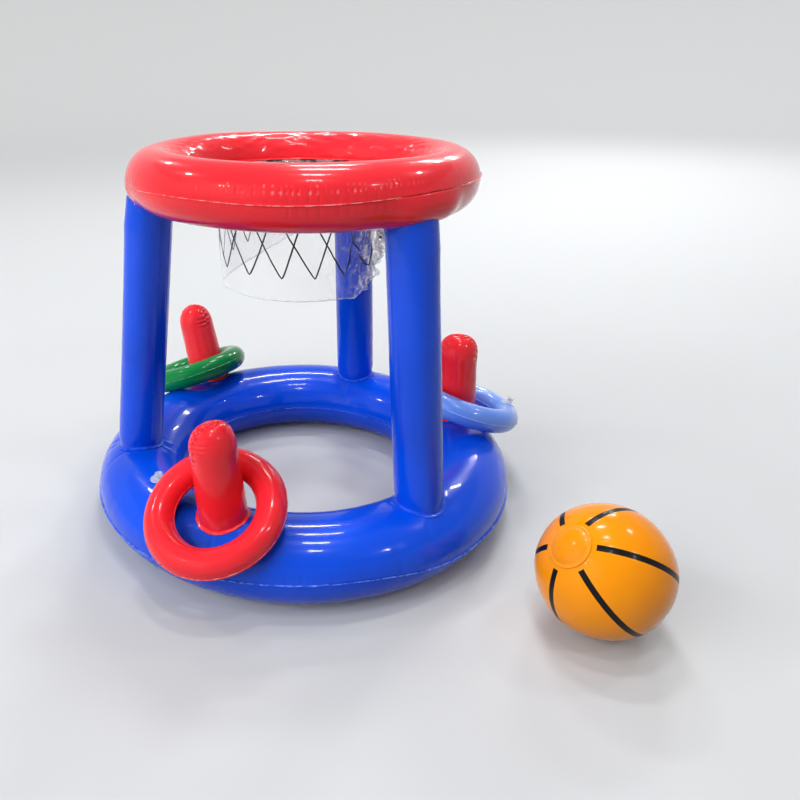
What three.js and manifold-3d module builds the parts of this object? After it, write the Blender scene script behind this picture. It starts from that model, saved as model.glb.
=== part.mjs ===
// A floating basketball hoop of welded PVC film, blown up: a base ring, three leaning columns, a hoop
// ring with a clear net skirt, three toss pegs with a toss ring on each, and a ball that floats beside it.
// Millimetres, +Z up. The set stands on z = 0, with the middle of its own box over the origin.
import * as THREE from 'three';
import { mergeVertices } from 'three/addons/utils/BufferGeometryUtils.js';
import Module from 'manifold-3d';

const wasm = await Module();
wasm.setup();

// Driving dimensions of the base ring and the hoop ring
const baseOuterDiameter = 600;
const baseTubeWidth = 122.4;
const baseTubeHeight = 101;
const baseFootSink = 1.2;
const hoopOuterDiameter = 445.8;
const hoopTubeWidth = 71.8;
const hoopTubeHeight = 71.4;
const hoopCentreHeight = 471.8;
const weldWidth = 3;
const weldThickness = 1.2;
const netWeldWidth = 7;

// Driving dimensions of the columns
const columnFootRadius = 31.1;
const columnHeadRadius = 30.1;
const columnFootInset = 0.3;
const columnHeadOutset = 10.5;
const columnFootNeck = 1.6;
const columnHeadNeck = 3;
const columnHeadTuck = 5;
const columnNeckLength = 24;
const columnAzimuths = { column_back: 90, column_left: 210, column_right: 330 };

// Driving dimensions of the pegs
const pegRadius = 30;
const pegTipRadius = 28;
const pegLength = 130;
const pegDomeLength = 34;
const collarWidth = 3.6;
const collarThickness = 1.1;

// Driving dimensions of the toss rings and of the clear skirt
const tossOuterDiameter = 174;
const tossTubeDiameter = 36.4;
const tossSeamHeight = 0.9;
const netFilm = 0.8;
const netTubeRadius = 113;
const netHemRadius = 110;
const netShoulderDrop = 44;
const netLength = 133;

// Driving dimensions of the ball
const ballRadius = 76;
const ballFlat = 0.5;
const ballCapRadius = 25;
const ballCapFilm = 0.8;
const ballCapCurveRadius = 50;
const ballDistance = 452.6;
const ballAzimuth = -18.65;
const ballPole = new THREE.Vector3(-0.562, -0.513, 0.648);

// Driving dimensions of a valve: flange, stem and the stopper on its strap
const flangeRadius = 11.5;
const flangeThickness = 0.9;
const stemRadius = 4.6;
const boreRadius = 2.9;
const stemHeight = 7;
const plugRadius = 2.5;
const plugTipRadius = 1.7;
const plugLength = 3.7;
const stopperRadius = 5.4;
const stopperThickness = 1.7;
const strapWidth = 3.2;
const strapThickness = 1;
const hingeReach = 8.2;
const hingeRadius = 1;

// Clearances between pieces that touch, and how far a cutting solid runs past what it cuts
const seatGap = 0.3;
const overrun = 6;

// Facet counts
const ringFacets = 48;
const ringSectionFacets = 16;
const tossFacets = 32;
const tossSectionFacets = 10;
const columnFacets = 18;
const pegFacets = 18;
const pegDomeSteps = 5;
const pegCornerPower = 3.4;
const netFacets = 32;
const ballFacets = 24;
const ballCapSteps = 3;
const smallFacets = 10;
const flangeFacets = 18;

// Points of a shape closer together than this are one point
const mergeDistance = 1e-4;

// What follows from the driving dimensions
const baseCentreRadius = (baseOuterDiameter - baseTubeWidth) / 2;
const baseCentreHeight = baseTubeHeight / 2 - baseFootSink;
const hoopCentreRadius = (hoopOuterDiameter - hoopTubeWidth) / 2;
const tossTubeRadius = tossTubeDiameter / 2;
const tossCentreRadius = (tossOuterDiameter - tossTubeDiameter) / 2;
const columnFootCircle = baseCentreRadius - columnFootInset;
const columnHeadCircle = hoopCentreRadius + columnHeadOutset;

// Each peg: its azimuth, how far outside the base tube's middle it stands, its lean outward and to its
// left, and the turn of the weld over its tip, all but the outset in degrees
const pegs = {
  peg_front: { azimuth: 268.8, outset: 3, lean: 7, sideLean: -1, tipTurn: 18 },
  peg_left: { azimuth: 151.2, outset: 26, lean: 17, sideLean: 2, tipTurn: 60 },
  peg_right: { azimuth: 36, outset: 4.7, lean: -2, sideLean: 0, tipTurn: -10 },
};

// Each toss ring: its peg, its colour, its tilt, the turn of that tilt from straight outward, how far it
// has slipped outward and to the left as shares of its tube, and where its valve sits round the ring from
// the peg's own azimuth and round the tube, in degrees
const tossRings = {
  toss_ring_red: {
    peg: 'peg_front',
    colour: '#e8242f',
    tilt: 28,
    turn: 3,
    slipShare: 0.87,
    sideShare: 0,
    valve: { round: 208, section: 68 },
  },
  toss_ring_green: {
    peg: 'peg_left',
    colour: '#008a44',
    tilt: 22,
    turn: 15,
    slipShare: 0.78,
    sideShare: 0.7,
    valve: { round: 59, section: 75 },
  },
  toss_ring_blue: {
    peg: 'peg_right',
    colour: '#6f9df5',
    tilt: 18.5,
    turn: 7,
    slipShare: 0.75,
    sideShare: 0.1,
    valve: { round: -10, section: 84 },
  },
};

// Where the valves of the two big rings sit: the azimuth, and the angle round the tube, in degrees
const baseValvePlace = { azimuth: 239, section: 92 };
const hoopValvePlace = { azimuth: 113, section: 42 };

const degrees = THREE.MathUtils.degToRad;

function material(colour, roughness = 0.18, opacity = 1) {
  const transparent = opacity < 1;
  return new THREE.MeshStandardMaterial({ color: colour, roughness, metalness: 0, opacity, transparent });
}

const redFilm = material('#f0303a');
const blueFilm = material('#0f3fd8');
const orangeFilm = material('#ff9a08');
const clearFilm = material('#dff2f6', 0.08, 0.35);
const valveFilm = material('#cfe2ea', 0.12, 0.6);

// Solids and meshes

// A geometry as a solid: only its positions, with the shared ones merged.
function solid(geometry) {
  const bare = geometry.clone();
  bare.deleteAttribute('normal');
  bare.deleteAttribute('uv');
  const merged = mergeVertices(bare, mergeDistance);
  const vertProperties = new Float32Array(merged.attributes.position.array);
  const triVerts = new Uint32Array(merged.index.array);
  return new wasm.Manifold(new wasm.Mesh({ numProp: 3, vertProperties, triVerts }));
}

function geometryOf(manifold) {
  const { vertProperties, triVerts } = manifold.getMesh();
  const geometry = new THREE.BufferGeometry();
  geometry.setAttribute('position', new THREE.BufferAttribute(new Float32Array(vertProperties), 3));
  geometry.setIndex(new THREE.BufferAttribute(new Uint32Array(triVerts), 1));
  geometry.computeVertexNormals();
  return geometry;
}

function mesh(name, geometry, finish) {
  const piece = new THREE.Mesh(geometry, finish);
  piece.name = name;
  return piece;
}

// A closed outline of [radius, height] pairs, turned about the Z axis.
function revolve(outline, facets) {
  const points = outline.map(([radius, height]) => new THREE.Vector2(radius, height));
  return new THREE.LatheGeometry(points, facets).rotateX(Math.PI / 2);
}

// Rings of points joined one to the next, with a fan over the first and the last ring.
function loft(rings) {
  const sides = rings[0].length;
  const centres = [rings[0], rings.at(-1)].map((ring) => {
    const sum = ring.reduce((total, point) => total.add(point), new THREE.Vector3());
    return sum.divideScalar(sides);
  });
  const points = [...rings.flat(), ...centres];
  const index = [];
  const first = points.length - 2;
  const last = points.length - 1;
  const top = (rings.length - 1) * sides;
  for (let side = 0; side < sides; side += 1) {
    const next = (side + 1) % sides;
    for (let row = 0; row < rings.length - 1; row += 1) {
      const low = row * sides;
      const high = low + sides;
      index.push(low + side, low + next, high + next);
      index.push(low + side, high + next, high + side);
    }
    index.push(first, next, side);
    index.push(last, top + side, top + next);
  }
  const geometry = new THREE.BufferGeometry().setFromPoints(points);
  geometry.setIndex(index);
  geometry.computeVertexNormals();
  return geometry;
}

// A ring of points: an ellipse about a centre, on two unit directions.
function ellipse(centre, across, along, halfAcross, halfAlong, sides) {
  const points = [];
  for (let side = 0; side < sides; side += 1) {
    const angle = (side / sides) * 2 * Math.PI;
    const point = centre.clone();
    point.addScaledVector(across, halfAcross * Math.cos(angle));
    point.addScaledVector(along, halfAlong * Math.sin(angle));
    points.push(point);
  }
  return points;
}

// A straight round bar between two points.
function bar(start, end, startRadius, endRadius, sides) {
  const axis = end.clone().sub(start).normalize();
  const across = new THREE.Vector3(-axis.y, axis.x, 0);
  if (across.length() === 0) across.set(1, 0, 0);
  across.normalize();
  const along = axis.clone().cross(across);
  return loft([
    ellipse(start, across, along, startRadius, startRadius, sides),
    ellipse(end, across, along, endRadius, endRadius, sides),
  ]);
}

function outward(azimuth) {
  return new THREE.Vector3(Math.cos(degrees(azimuth)), Math.sin(degrees(azimuth)), 0);
}

// Ring tubes

// The section of a ring tube: an ellipse, cut flat at the floor, with a flat weld fin at both equators.
function tubeOutline(tube) {
  const { centreRadius, centreHeight, halfWidth, halfHeight, floor, innerFin, outerFin } = tube;
  const footHalf = halfWidth * Math.sqrt(Math.max(0, 1 - ((centreHeight - floor) / halfHeight) ** 2));
  const outline = [];
  let isFooted = false;
  const fin = (side, width) => {
    const root = centreRadius + side * halfWidth * Math.sqrt(1 - (weldThickness / 2 / halfHeight) ** 2);
    const tip = centreRadius + side * (halfWidth + width);
    const low = centreHeight - weldThickness / 2;
    const high = centreHeight + weldThickness / 2;
    const rising = [[root, low], [tip, low], [tip, high], [root, high]];
    outline.push(...(side > 0 ? rising : rising.reverse()));
  };
  for (let step = 0; step < ringSectionFacets; step += 1) {
    const angle = (step / ringSectionFacets) * 2 * Math.PI;
    if (step === 0) fin(1, outerFin);
    else if (step === ringSectionFacets / 2) fin(-1, innerFin);
    else {
      const height = centreHeight + halfHeight * Math.sin(angle);
      if (height > floor) outline.push([centreRadius + halfWidth * Math.cos(angle), height]);
      else if (!isFooted) {
        outline.push([centreRadius - footHalf, floor], [centreRadius + footHalf, floor]);
        isFooted = true;
      }
    }
  }
  outline.push(outline[0]);
  return outline;
}

// The same tube without its fins, grown all round, to seat other pieces on it or cut them by it.
function grownTube(tube, growth) {
  const outline = [];
  for (let step = 0; step <= ringSectionFacets; step += 1) {
    const angle = (step / ringSectionFacets) * 2 * Math.PI;
    const radius = tube.centreRadius + (tube.halfWidth + growth) * Math.cos(angle);
    outline.push([radius, tube.centreHeight + (tube.halfHeight + growth) * Math.sin(angle)]);
  }
  return solid(revolve(outline, ringFacets));
}

const baseTube = {
  centreRadius: baseCentreRadius,
  centreHeight: baseCentreHeight,
  halfWidth: baseTubeWidth / 2,
  halfHeight: baseTubeHeight / 2,
  floor: 0,
  innerFin: weldWidth,
  outerFin: weldWidth,
};

const hoopTube = {
  centreRadius: hoopCentreRadius,
  centreHeight: hoopCentreHeight,
  halfWidth: hoopTubeWidth / 2,
  halfHeight: hoopTubeHeight / 2,
  floor: 0,
  innerFin: netWeldWidth,
  outerFin: weldWidth,
};

const baseSeat = grownTube(baseTube, seatGap);
const baseCollarSkin = grownTube(baseTube, seatGap + collarThickness);
const hoopSeat = grownTube(hoopTube, seatGap);
const hoopCollarSkin = grownTube(hoopTube, seatGap + collarThickness);

// Height of the base ring's top surface at a distance from its axis.
function baseSurfaceHeight(radius) {
  const share = (radius - baseCentreRadius) / baseTube.halfWidth;
  return baseCentreHeight + baseTube.halfHeight * Math.sqrt(1 - share ** 2);
}

// Columns: a leaning tube, drawn in at both welds, with a weld collar that follows each ring

function column(name, azimuth) {
  const out = outward(azimuth);
  const side = new THREE.Vector3(-out.y, out.x, 0);
  const footHeight = baseTubeHeight - baseFootSink;
  const headHeight = hoopCentreHeight - hoopTube.halfHeight;
  const lean = (columnHeadCircle - columnFootCircle) / (headHeight - footHeight);
  const centre = (height, tuck) => {
    const circle = columnFootCircle + lean * (height - footHeight) - tuck;
    return out.clone().multiplyScalar(circle).setZ(height);
  };
  const footNeck = columnFootRadius - columnFootNeck;
  const headNeck = columnHeadRadius - columnHeadNeck;
  const headEnd = hoopCentreHeight - hoopTube.halfHeight / 4;
  const stations = [
    [baseCentreHeight, footNeck, 0],
    [footHeight, footNeck, 0],
    [footHeight + columnNeckLength / 3, columnFootRadius - columnFootNeck / 4, 0],
    [footHeight + columnNeckLength, columnFootRadius, 0],
    [headHeight - columnNeckLength, columnHeadRadius, 0],
    [headHeight - columnNeckLength / 3, columnHeadRadius - columnHeadNeck / 4, columnHeadTuck / 4],
    [headHeight, headNeck, columnHeadTuck / 2],
    [headEnd, headNeck, columnHeadTuck],
  ];
  const rings = stations.map(([height, radius, tuck]) =>
    ellipse(centre(height, tuck), out, side, radius, radius, columnFacets));
  const footBar = bar(centre(baseCentreHeight, 0), centre(footHeight + overrun, 0),
    footNeck + collarWidth, footNeck + collarWidth, columnFacets);
  const headBar = bar(centre(headHeight - overrun, columnHeadTuck / 2), centre(headEnd, columnHeadTuck),
    headNeck + collarWidth, headNeck + collarWidth, columnFacets);
  const tube = solid(loft(rings))
    .add(solid(footBar).intersect(baseCollarSkin))
    .add(solid(headBar).intersect(hoopCollarSkin))
    .subtract(baseSeat)
    .subtract(hoopSeat);
  return mesh(name, geometryOf(tube), blueFilm);
}

// Pegs: a leaning tube with a flat weld over its tip and a weld collar on the base ring

function pegAxis({ azimuth, outset, lean, sideLean }) {
  const out = outward(azimuth);
  const circle = baseCentreRadius + outset;
  const foot = out.clone().multiplyScalar(circle).setZ(baseSurfaceHeight(circle));
  const axis = out.clone().multiplyScalar(Math.tan(degrees(lean)));
  axis.addScaledVector(outward(azimuth + 90), Math.tan(degrees(sideLean))).setZ(1).normalize();
  return { out, foot, axis };
}

function peg(name, place) {
  const { foot, axis } = pegAxis(place);
  const level = outward(place.azimuth + 90).projectOnPlane(axis).normalize();
  const side = level.applyAxisAngle(axis, degrees(place.tipTurn));
  const front = axis.clone().cross(side);
  const at = (distance) => foot.clone().addScaledVector(axis, distance);
  const straight = pegLength - pegDomeLength;
  const rings = [
    ellipse(at(-baseTube.halfHeight / 2), side, front, pegRadius, pegRadius, pegFacets),
    ellipse(at(straight / 3), side, front, pegRadius, pegRadius, pegFacets),
  ];
  for (let step = 0; step < pegDomeSteps; step += 1) {
    const share = Math.sin((step / pegDomeSteps) * (Math.PI / 2));
    const wide = pegTipRadius * (1 - share ** pegCornerPower) ** (1 / pegCornerPower);
    const deep = pegTipRadius * Math.sqrt(1 - share ** 2);
    rings.push(ellipse(at(straight + pegDomeLength * share), side, front, wide, deep, pegFacets));
  }
  const tube = loft(rings);
  const lastPoint = tube.attributes.position.count - 1;
  const tip = at(pegLength);
  tube.attributes.position.setXYZ(lastPoint, tip.x, tip.y, tip.z);
  const collarRadius = pegRadius + collarWidth;
  const collar = bar(at(-overrun * 2), at(overrun * 3), collarRadius, collarRadius, pegFacets);
  const whole = solid(tube)
    .add(solid(collar).intersect(baseCollarSkin))
    .subtract(baseSeat);
  return mesh(name, geometryOf(whole), redFilm);
}

// Net skirt: clear film, welded under the hoop ring's inner fin, drawn in to a straight tube

function netSkirt() {
  const rim = hoopCentreHeight - weldThickness / 2 - seatGap;
  const weldOut = hoopCentreRadius - hoopTube.halfWidth - seatGap * 2;
  const weldIn = weldOut - netWeldWidth;
  const shoulder = rim - netShoulderDrop;
  const hem = rim - netLength;
  const between = (weldIn + netTubeRadius) / 2;
  const outline = [
    [weldOut, rim - netFilm],
    [weldOut, rim],
    [weldIn - netFilm, rim],
    [between - netFilm, rim - netShoulderDrop / 3],
    [netTubeRadius - netFilm, shoulder],
    [netHemRadius - netFilm, hem],
    [netHemRadius, hem],
    [netTubeRadius, shoulder],
    [between, rim - netFilm - netShoulderDrop / 3],
    [weldIn, rim - netFilm],
    [weldOut, rim - netFilm],
  ];
  return mesh('net_skirt', revolve(outline, netFacets), clearFilm);
}

// Valves: a flange that follows the film, an open stem with a lug, and a stopper on a strap

// The valve's own frame: Z points out of the film, X points away from the strap.
function valveFrame(point, normal, strapDirection) {
  const strapSide = strapDirection.clone().projectOnPlane(normal).normalize();
  const across = normal.clone().cross(strapSide.clone().negate());
  const turn = new THREE.Matrix4().makeBasis(strapSide.clone().negate(), across, normal);
  return turn.setPosition(point);
}

function block(width, depth, height, x, y, z) {
  return new THREE.BoxGeometry(width, depth, height).translate(x, y, z);
}

function valveBody(name, frame, film, skin) {
  const upright = (radius, low, high, sides) =>
    solid(bar(new THREE.Vector3(0, 0, low), new THREE.Vector3(0, 0, high), radius, radius, sides)
      .applyMatrix4(frame));
  const lugLength = hingeReach - hingeRadius - seatGap - boreRadius - stemRadius / 4;
  const lugMiddle = -(boreRadius + stemRadius / 4 + lugLength / 2);
  const lugHeight = strapThickness * 2;
  const lug = block(lugLength, strapWidth, lugHeight, lugMiddle, 0, stemHeight - lugHeight / 2 - seatGap / 2);
  const body = upright(flangeRadius, -overrun, overrun, flangeFacets).intersect(skin)
    .add(upright(stemRadius, -overrun / 2, stemHeight, smallFacets))
    .add(solid(lug.applyMatrix4(frame)))
    .subtract(upright(boreRadius, -overrun, stemHeight + overrun, smallFacets))
    .subtract(film);
  return mesh(name, geometryOf(body), valveFilm);
}

function valveStopper(name, frame) {
  const underside = stemHeight + seatGap;
  const cap = revolve([
    [0, underside - plugLength],
    [plugTipRadius, underside - plugLength],
    [plugRadius, underside - strapThickness / 2],
    [plugRadius, underside],
    [stopperRadius, underside],
    [stopperRadius, underside + strapThickness],
    [stopperRadius - strapThickness / 2, underside + stopperThickness],
    [0, underside + stopperThickness],
  ], smallFacets);
  const strapLength = hingeReach - stopperRadius / 2;
  const strap = block(strapLength, strapWidth, strapThickness,
    -(stopperRadius / 2 + strapLength / 2), 0, underside + strapThickness / 2);
  const hingeHeight = underside + strapThickness / 2;
  const root = bar(
    new THREE.Vector3(-hingeReach, -strapWidth / 2, hingeHeight),
    new THREE.Vector3(-hingeReach, strapWidth / 2, hingeHeight), hingeRadius, hingeRadius, smallFacets / 2);
  const whole = solid(cap.applyMatrix4(frame))
    .add(solid(strap.applyMatrix4(frame)))
    .add(solid(root.applyMatrix4(frame)));
  const stopper = mesh(name, geometryOf(whole), valveFilm);
  stopper.userData.hinge = {
    point: new THREE.Vector3(-hingeReach, 0, hingeHeight).applyMatrix4(frame),
    axis: new THREE.Vector3(0, -1, 0).transformDirection(frame),
  };
  return stopper;
}

function valve(name, frame, film, skin) {
  return [valveBody(name, frame, film, skin), valveStopper(`${name}_stopper`, frame)];
}

// A point on a ring tube and the film's normal there, from the angles round the ring and the section.
function onTube(tube, azimuth, sectionAngle) {
  const out = outward(azimuth);
  const angle = degrees(sectionAngle);
  const radius = tube.centreRadius + tube.halfWidth * Math.cos(angle);
  const height = tube.centreHeight + tube.halfHeight * Math.sin(angle);
  const point = out.clone().multiplyScalar(radius).setZ(height);
  const normal = out.clone().multiplyScalar(Math.cos(angle) / tube.halfWidth);
  normal.setZ(Math.sin(angle) / tube.halfHeight).normalize();
  return { point, normal };
}

function ringValve(name, tube, { azimuth, section }) {
  const { point, normal } = onTube(tube, azimuth, section);
  const frame = valveFrame(point, normal, outward(azimuth + 90));
  const film = grownTube(tube, seatGap);
  const skin = grownTube(tube, seatGap + flangeThickness);
  return valve(name, frame, film, skin);
}

// Toss rings: plain ring tubes with a weld ridge inside and outside, each hung on its peg

function tossOutline(growth, ridge) {
  const outline = [];
  for (let step = 0; step <= tossSectionFacets; step += 1) {
    const angle = (step / tossSectionFacets) * 2 * Math.PI;
    const onSeam = step % (tossSectionFacets / 2) === 0;
    const radius = tossTubeRadius + growth + (onSeam ? ridge : 0);
    outline.push([tossCentreRadius + radius * Math.cos(angle), radius * Math.sin(angle)]);
  }
  return outline;
}

// The ring is lowered along its peg, by halving steps, until it rests on the base ring or the peg.
function hang(ring, support) {
  const { out, foot, axis } = pegAxis(pegs[ring.peg]);
  const up = new THREE.Vector3(0, 0, 1);
  const lean = up.clone().cross(out).applyAxisAngle(up, degrees(ring.turn));
  const turn = new THREE.Quaternion().setFromAxisAngle(lean, degrees(ring.tilt));
  const outside = out.clone().projectOnPlane(axis).normalize();
  const aside = outside.clone().multiplyScalar(ring.slipShare * tossTubeRadius);
  aside.addScaledVector(axis.clone().cross(outside), ring.sideShare * tossTubeRadius);
  const at = (height) => foot.clone().addScaledVector(axis, height).add(aside);
  const grown = solid(revolve(tossOutline(seatGap, tossSeamHeight), tossFacets));
  const isClear = (height) => {
    const place = new THREE.Matrix4().compose(at(height), turn, new THREE.Vector3(1, 1, 1));
    return grown.transform(place.elements).intersect(support).isEmpty();
  };
  let low = 0;
  let high = pegLength;
  while (high - low > seatGap / 10) {
    const half = (low + high) / 2;
    if (isClear(half)) high = half;
    else low = half;
  }
  return { centre: at(high), turn };
}

function tossRing(name, ring, support) {
  const { centre, turn } = hang(ring, support);
  const group = new THREE.Group();
  group.position.copy(centre);
  group.quaternion.copy(turn);
  group.userData.lift = pegAxis(pegs[ring.peg]).axis;
  group.add(mesh(name, revolve(tossOutline(0, tossSeamHeight), tossFacets), material(ring.colour)));
  const { round, section } = ring.valve;
  const pegAzimuth = pegs[ring.peg].azimuth;
  const out = outward(pegAzimuth + round);
  const normal = out.clone().multiplyScalar(Math.cos(degrees(section))).setZ(Math.sin(degrees(section)));
  const point = out.clone().multiplyScalar(tossCentreRadius).addScaledVector(normal, tossTubeRadius);
  const frame = valveFrame(point, normal, outward(pegAzimuth + round + 90));
  const film = solid(revolve(tossOutline(seatGap, tossSeamHeight), tossFacets));
  const skin = solid(revolve(tossOutline(seatGap + flangeThickness, tossSeamHeight), tossFacets));
  group.add(...valve(`${name}_valve`, frame, film, skin));
  return group;
}

// Ball: a film ball with a flat where it rests, a bulging round cap over each pole and a valve below

function ballOutline(radius) {
  const outline = [];
  for (let step = 0; step <= ballFacets / 2; step += 1) {
    const angle = (step / (ballFacets / 2) - 1 / 2) * Math.PI;
    outline.push([Math.abs(radius * Math.cos(angle)) < seatGap / 10 ? 0 : radius * Math.cos(angle),
      radius * Math.sin(angle)]);
  }
  return outline;
}

const capInnerRadius = ballRadius + seatGap;
const capRimAngle = Math.asin(ballCapRadius / capInnerRadius);
const capRimHeight = capInnerRadius * Math.cos(capRimAngle) + ballCapFilm;
const capCurveCentre = capRimHeight - Math.sqrt(ballCapCurveRadius ** 2 - ballCapRadius ** 2);
const capCurveAngle = Math.asin(ballCapRadius / ballCapCurveRadius);

function ballCap(name) {
  const outline = [];
  for (let step = 0; step <= ballCapSteps; step += 1) {
    const angle = capRimAngle * (step / ballCapSteps);
    outline.push([capInnerRadius * Math.sin(angle), capInnerRadius * Math.cos(angle)]);
  }
  for (let step = ballCapSteps; step >= 0; step -= 1) {
    const angle = capCurveAngle * (step / ballCapSteps);
    const height = capCurveCentre + ballCapCurveRadius * Math.cos(angle);
    outline.push([ballCapCurveRadius * Math.sin(angle), height]);
  }
  return mesh(name, revolve(outline, flangeFacets), orangeFilm);
}

// The lower cap's outer surface, grown, as a closed dome that the valve sits on.
function capDome(growth) {
  const outline = [[0, 0]];
  for (let step = ballCapSteps * 2; step >= 0; step -= 1) {
    const angle = capCurveAngle * (step / ballCapSteps);
    const radius = ballCapCurveRadius + growth;
    outline.push([radius * Math.sin(angle), capCurveCentre + radius * Math.cos(angle)]);
  }
  return solid(revolve(outline, flangeFacets).rotateX(Math.PI));
}

function ball() {
  const group = new THREE.Group();
  const centre = outward(ballAzimuth).multiplyScalar(ballDistance).setZ(ballRadius - ballFlat);
  group.position.copy(centre);
  group.quaternion.setFromUnitVectors(new THREE.Vector3(0, 0, 1), ballPole.clone().normalize());
  const below = block(ballRadius * 2, ballRadius * 2, ballRadius, 0, 0, ballFlat - ballRadius * 3 / 2);
  below.applyQuaternion(group.quaternion.clone().invert());
  const shell = solid(revolve(ballOutline(ballRadius), ballFacets)).subtract(solid(below));
  const upperCap = ballCap('ball_cap_upper');
  const lowerCap = ballCap('ball_cap_lower');
  lowerCap.rotation.x = Math.PI;
  group.add(mesh('ball_shell', geometryOf(shell), orangeFilm), upperCap, lowerCap);
  const down = new THREE.Vector3(0, 0, -1);
  const bottom = new THREE.Vector3(0, 0, -capCurveCentre - ballCapCurveRadius);
  const frame = valveFrame(bottom, down, new THREE.Vector3(1, 0, 0));
  const film = capDome(seatGap);
  const skin = capDome(seatGap + flangeThickness);
  group.add(...valve('ball_valve', frame, film, skin));
  return group;
}

// The whole set, with the middle of its box over the origin

const set = new THREE.Group();
const baseRing = mesh('base_ring', revolve(tubeOutline(baseTube), ringFacets), blueFilm);
set.add(baseRing);
set.add(mesh('hoop_ring', revolve(tubeOutline(hoopTube), ringFacets), redFilm));
set.add(netSkirt());
for (const [name, azimuth] of Object.entries(columnAzimuths)) set.add(column(name, azimuth));
for (const [name, place] of Object.entries(pegs)) set.add(peg(name, place));
for (const [name, ring] of Object.entries(tossRings)) {
  const support = solid(baseRing.geometry).add(solid(set.getObjectByName(ring.peg).geometry));
  set.add(tossRing(name, ring, support));
}
set.add(...ringValve('base_valve', baseTube, baseValvePlace));
set.add(...ringValve('hoop_valve', hoopTube, hoopValvePlace));
set.add(ball());
set.updateMatrixWorld(true);
const middle = new THREE.Box3().setFromObject(set, true).getCenter(new THREE.Vector3());
set.position.set(-middle.x, -middle.y, 0);

export default set;
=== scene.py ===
"""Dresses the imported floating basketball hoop: film rings, columns, pegs, toss rings, ball, net, valves."""

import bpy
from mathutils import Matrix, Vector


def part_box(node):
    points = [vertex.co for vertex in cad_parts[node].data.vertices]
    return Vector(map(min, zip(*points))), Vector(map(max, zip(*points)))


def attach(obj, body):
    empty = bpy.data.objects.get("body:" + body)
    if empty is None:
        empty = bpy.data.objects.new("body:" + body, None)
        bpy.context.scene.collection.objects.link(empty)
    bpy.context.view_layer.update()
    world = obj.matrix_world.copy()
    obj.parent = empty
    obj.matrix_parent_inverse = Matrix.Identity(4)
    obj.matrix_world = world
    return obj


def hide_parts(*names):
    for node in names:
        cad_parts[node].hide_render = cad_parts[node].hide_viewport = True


bl_info = {
    "name": "Floating Basketball Hoop",
    "version": (1, 0, 0),
    "blender": (4, 5, 0),
    "location": "3D View > Sidebar > Pool Hoop",
    "description": "Builds the film, welds, printed net, ball and valves of a floating basketball hoop",
    "category": "Object",
}

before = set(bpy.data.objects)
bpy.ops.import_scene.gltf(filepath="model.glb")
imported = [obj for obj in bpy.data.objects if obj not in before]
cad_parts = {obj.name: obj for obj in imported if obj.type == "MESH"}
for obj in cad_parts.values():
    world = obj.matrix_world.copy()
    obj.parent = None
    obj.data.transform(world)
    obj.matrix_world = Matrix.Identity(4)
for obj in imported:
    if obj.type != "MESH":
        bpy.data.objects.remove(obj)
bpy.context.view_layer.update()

import math
from collections import namedtuple

import bpy
import numpy as np
from mathutils import Euler, Vector

TURN = 2 * math.pi
MM = 0.001

# The solids' own sizes, in metres, where the film has to lie on them.
Tube = namedtuple("Tube", "centre_radius centre_height half_width half_height")
BASE = Tube(0.2388, 0.0493, 0.0612, 0.0505)
HOOP = Tube(0.187, 0.4718, 0.0359, 0.0357)
TOSS = Tube(0.0688, 0.0, 0.0182, 0.0182)

# Column: foot radius, head radius, circles of the foot and head, their heights, how far the tube draws in at
# each weld, and how far its head tucks under the hoop ring.
COLUMN_FOOT_RADIUS = 0.0311
COLUMN_HEAD_RADIUS = 0.0301
COLUMN_FOOT_CIRCLE = 0.2385
COLUMN_HEAD_CIRCLE = 0.1975
COLUMN_FOOT_HEIGHT = 0.0998
COLUMN_HEAD_HEIGHT = 0.4361
COLUMN_FOOT_NECK = 0.0016
COLUMN_HEAD_NECK = 0.0012
COLUMN_HEAD_TUCK = 0.005
COLUMNS = {"column_back": 90, "column_left": 210, "column_right": 330}
# How a column's head flares: the side it flares to, in degrees left of outward, and how far, in metres.
FLARES = {"column_back": (0, 0.0), "column_left": (0, 0.0044), "column_right": (70, 0.004)}

# Peg: azimuth in degrees, distance outside the tube's middle in metres, then in degrees its lean outward
# and to its left, and the turn of the weld over its tip.
Peg = namedtuple("Peg", "azimuth outset lean side_lean tip_turn")
PEGS = {
    "peg_front": Peg(268.8, 0.003, 7, -1, 62),
    "peg_left": Peg(151.2, 0.026, 17, 2, -80),
    "peg_right": Peg(36, 0.0047, -2, 0, 64),
}
PEG_RADIUS = 0.030
PEG_TIP_RADIUS = 0.028
PEG_LENGTH = 0.130
PEG_DOME = 0.034
PEG_CORNER = 2.6
PEG_WELD_STAND = 0.0009

COLLAR_WIDTH = 0.0036
COLLAR_THICKNESS = 0.0011

# How far a collar and the inner weld are whitened, where 1 is the palest weld. The whitening is partly the
# weld's own paleness and partly painted highlight dashes.
COLLAR_PALE = 0.2
INNER_WELD_PALE = 0.25

# Angles in degrees, seen from above, of the folds that run from each foot on the base ring.
FOOT_FOLDS = {
    "column_back": (20, 80, 170, 260, 330),
    "column_left": (-8, 14, 40, 175, 200, 262),
    "column_right": (62, 85, 118, 236, 215, 300),
    "peg_front": (35, 95, 150, 215, 275, 330),
    "peg_left": (15, 100, 190, 280),
    "peg_right": (40, 130, 220, 300),
}

# How the welds of the big rings lean along their round: pairs of azimuth and roll in degrees.
BASE_ROLL = (
    (0, -8), (40, -3), (90, 0), (180, -2), (237, -8), (250, -6), (266, 0), (281, 5), (294, 6.5), (306, 7),
    (314, 4), (322, -3), (331, -8),
)
HOOP_ROLL = (
    (0, 8.2), (40, 4), (90, 0), (140, -2), (180, -8), (210, -13), (225.3, -11.7), (234, -6), (250, -1.5),
    (264, -2), (277, -3.8), (288, -4.4), (299, -3.3), (314, 1.6), (332, 6.8),
)
# The azimuth in degrees where the big rings' points lie closest together, on the side that is seen most.
FRONT = -72
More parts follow.
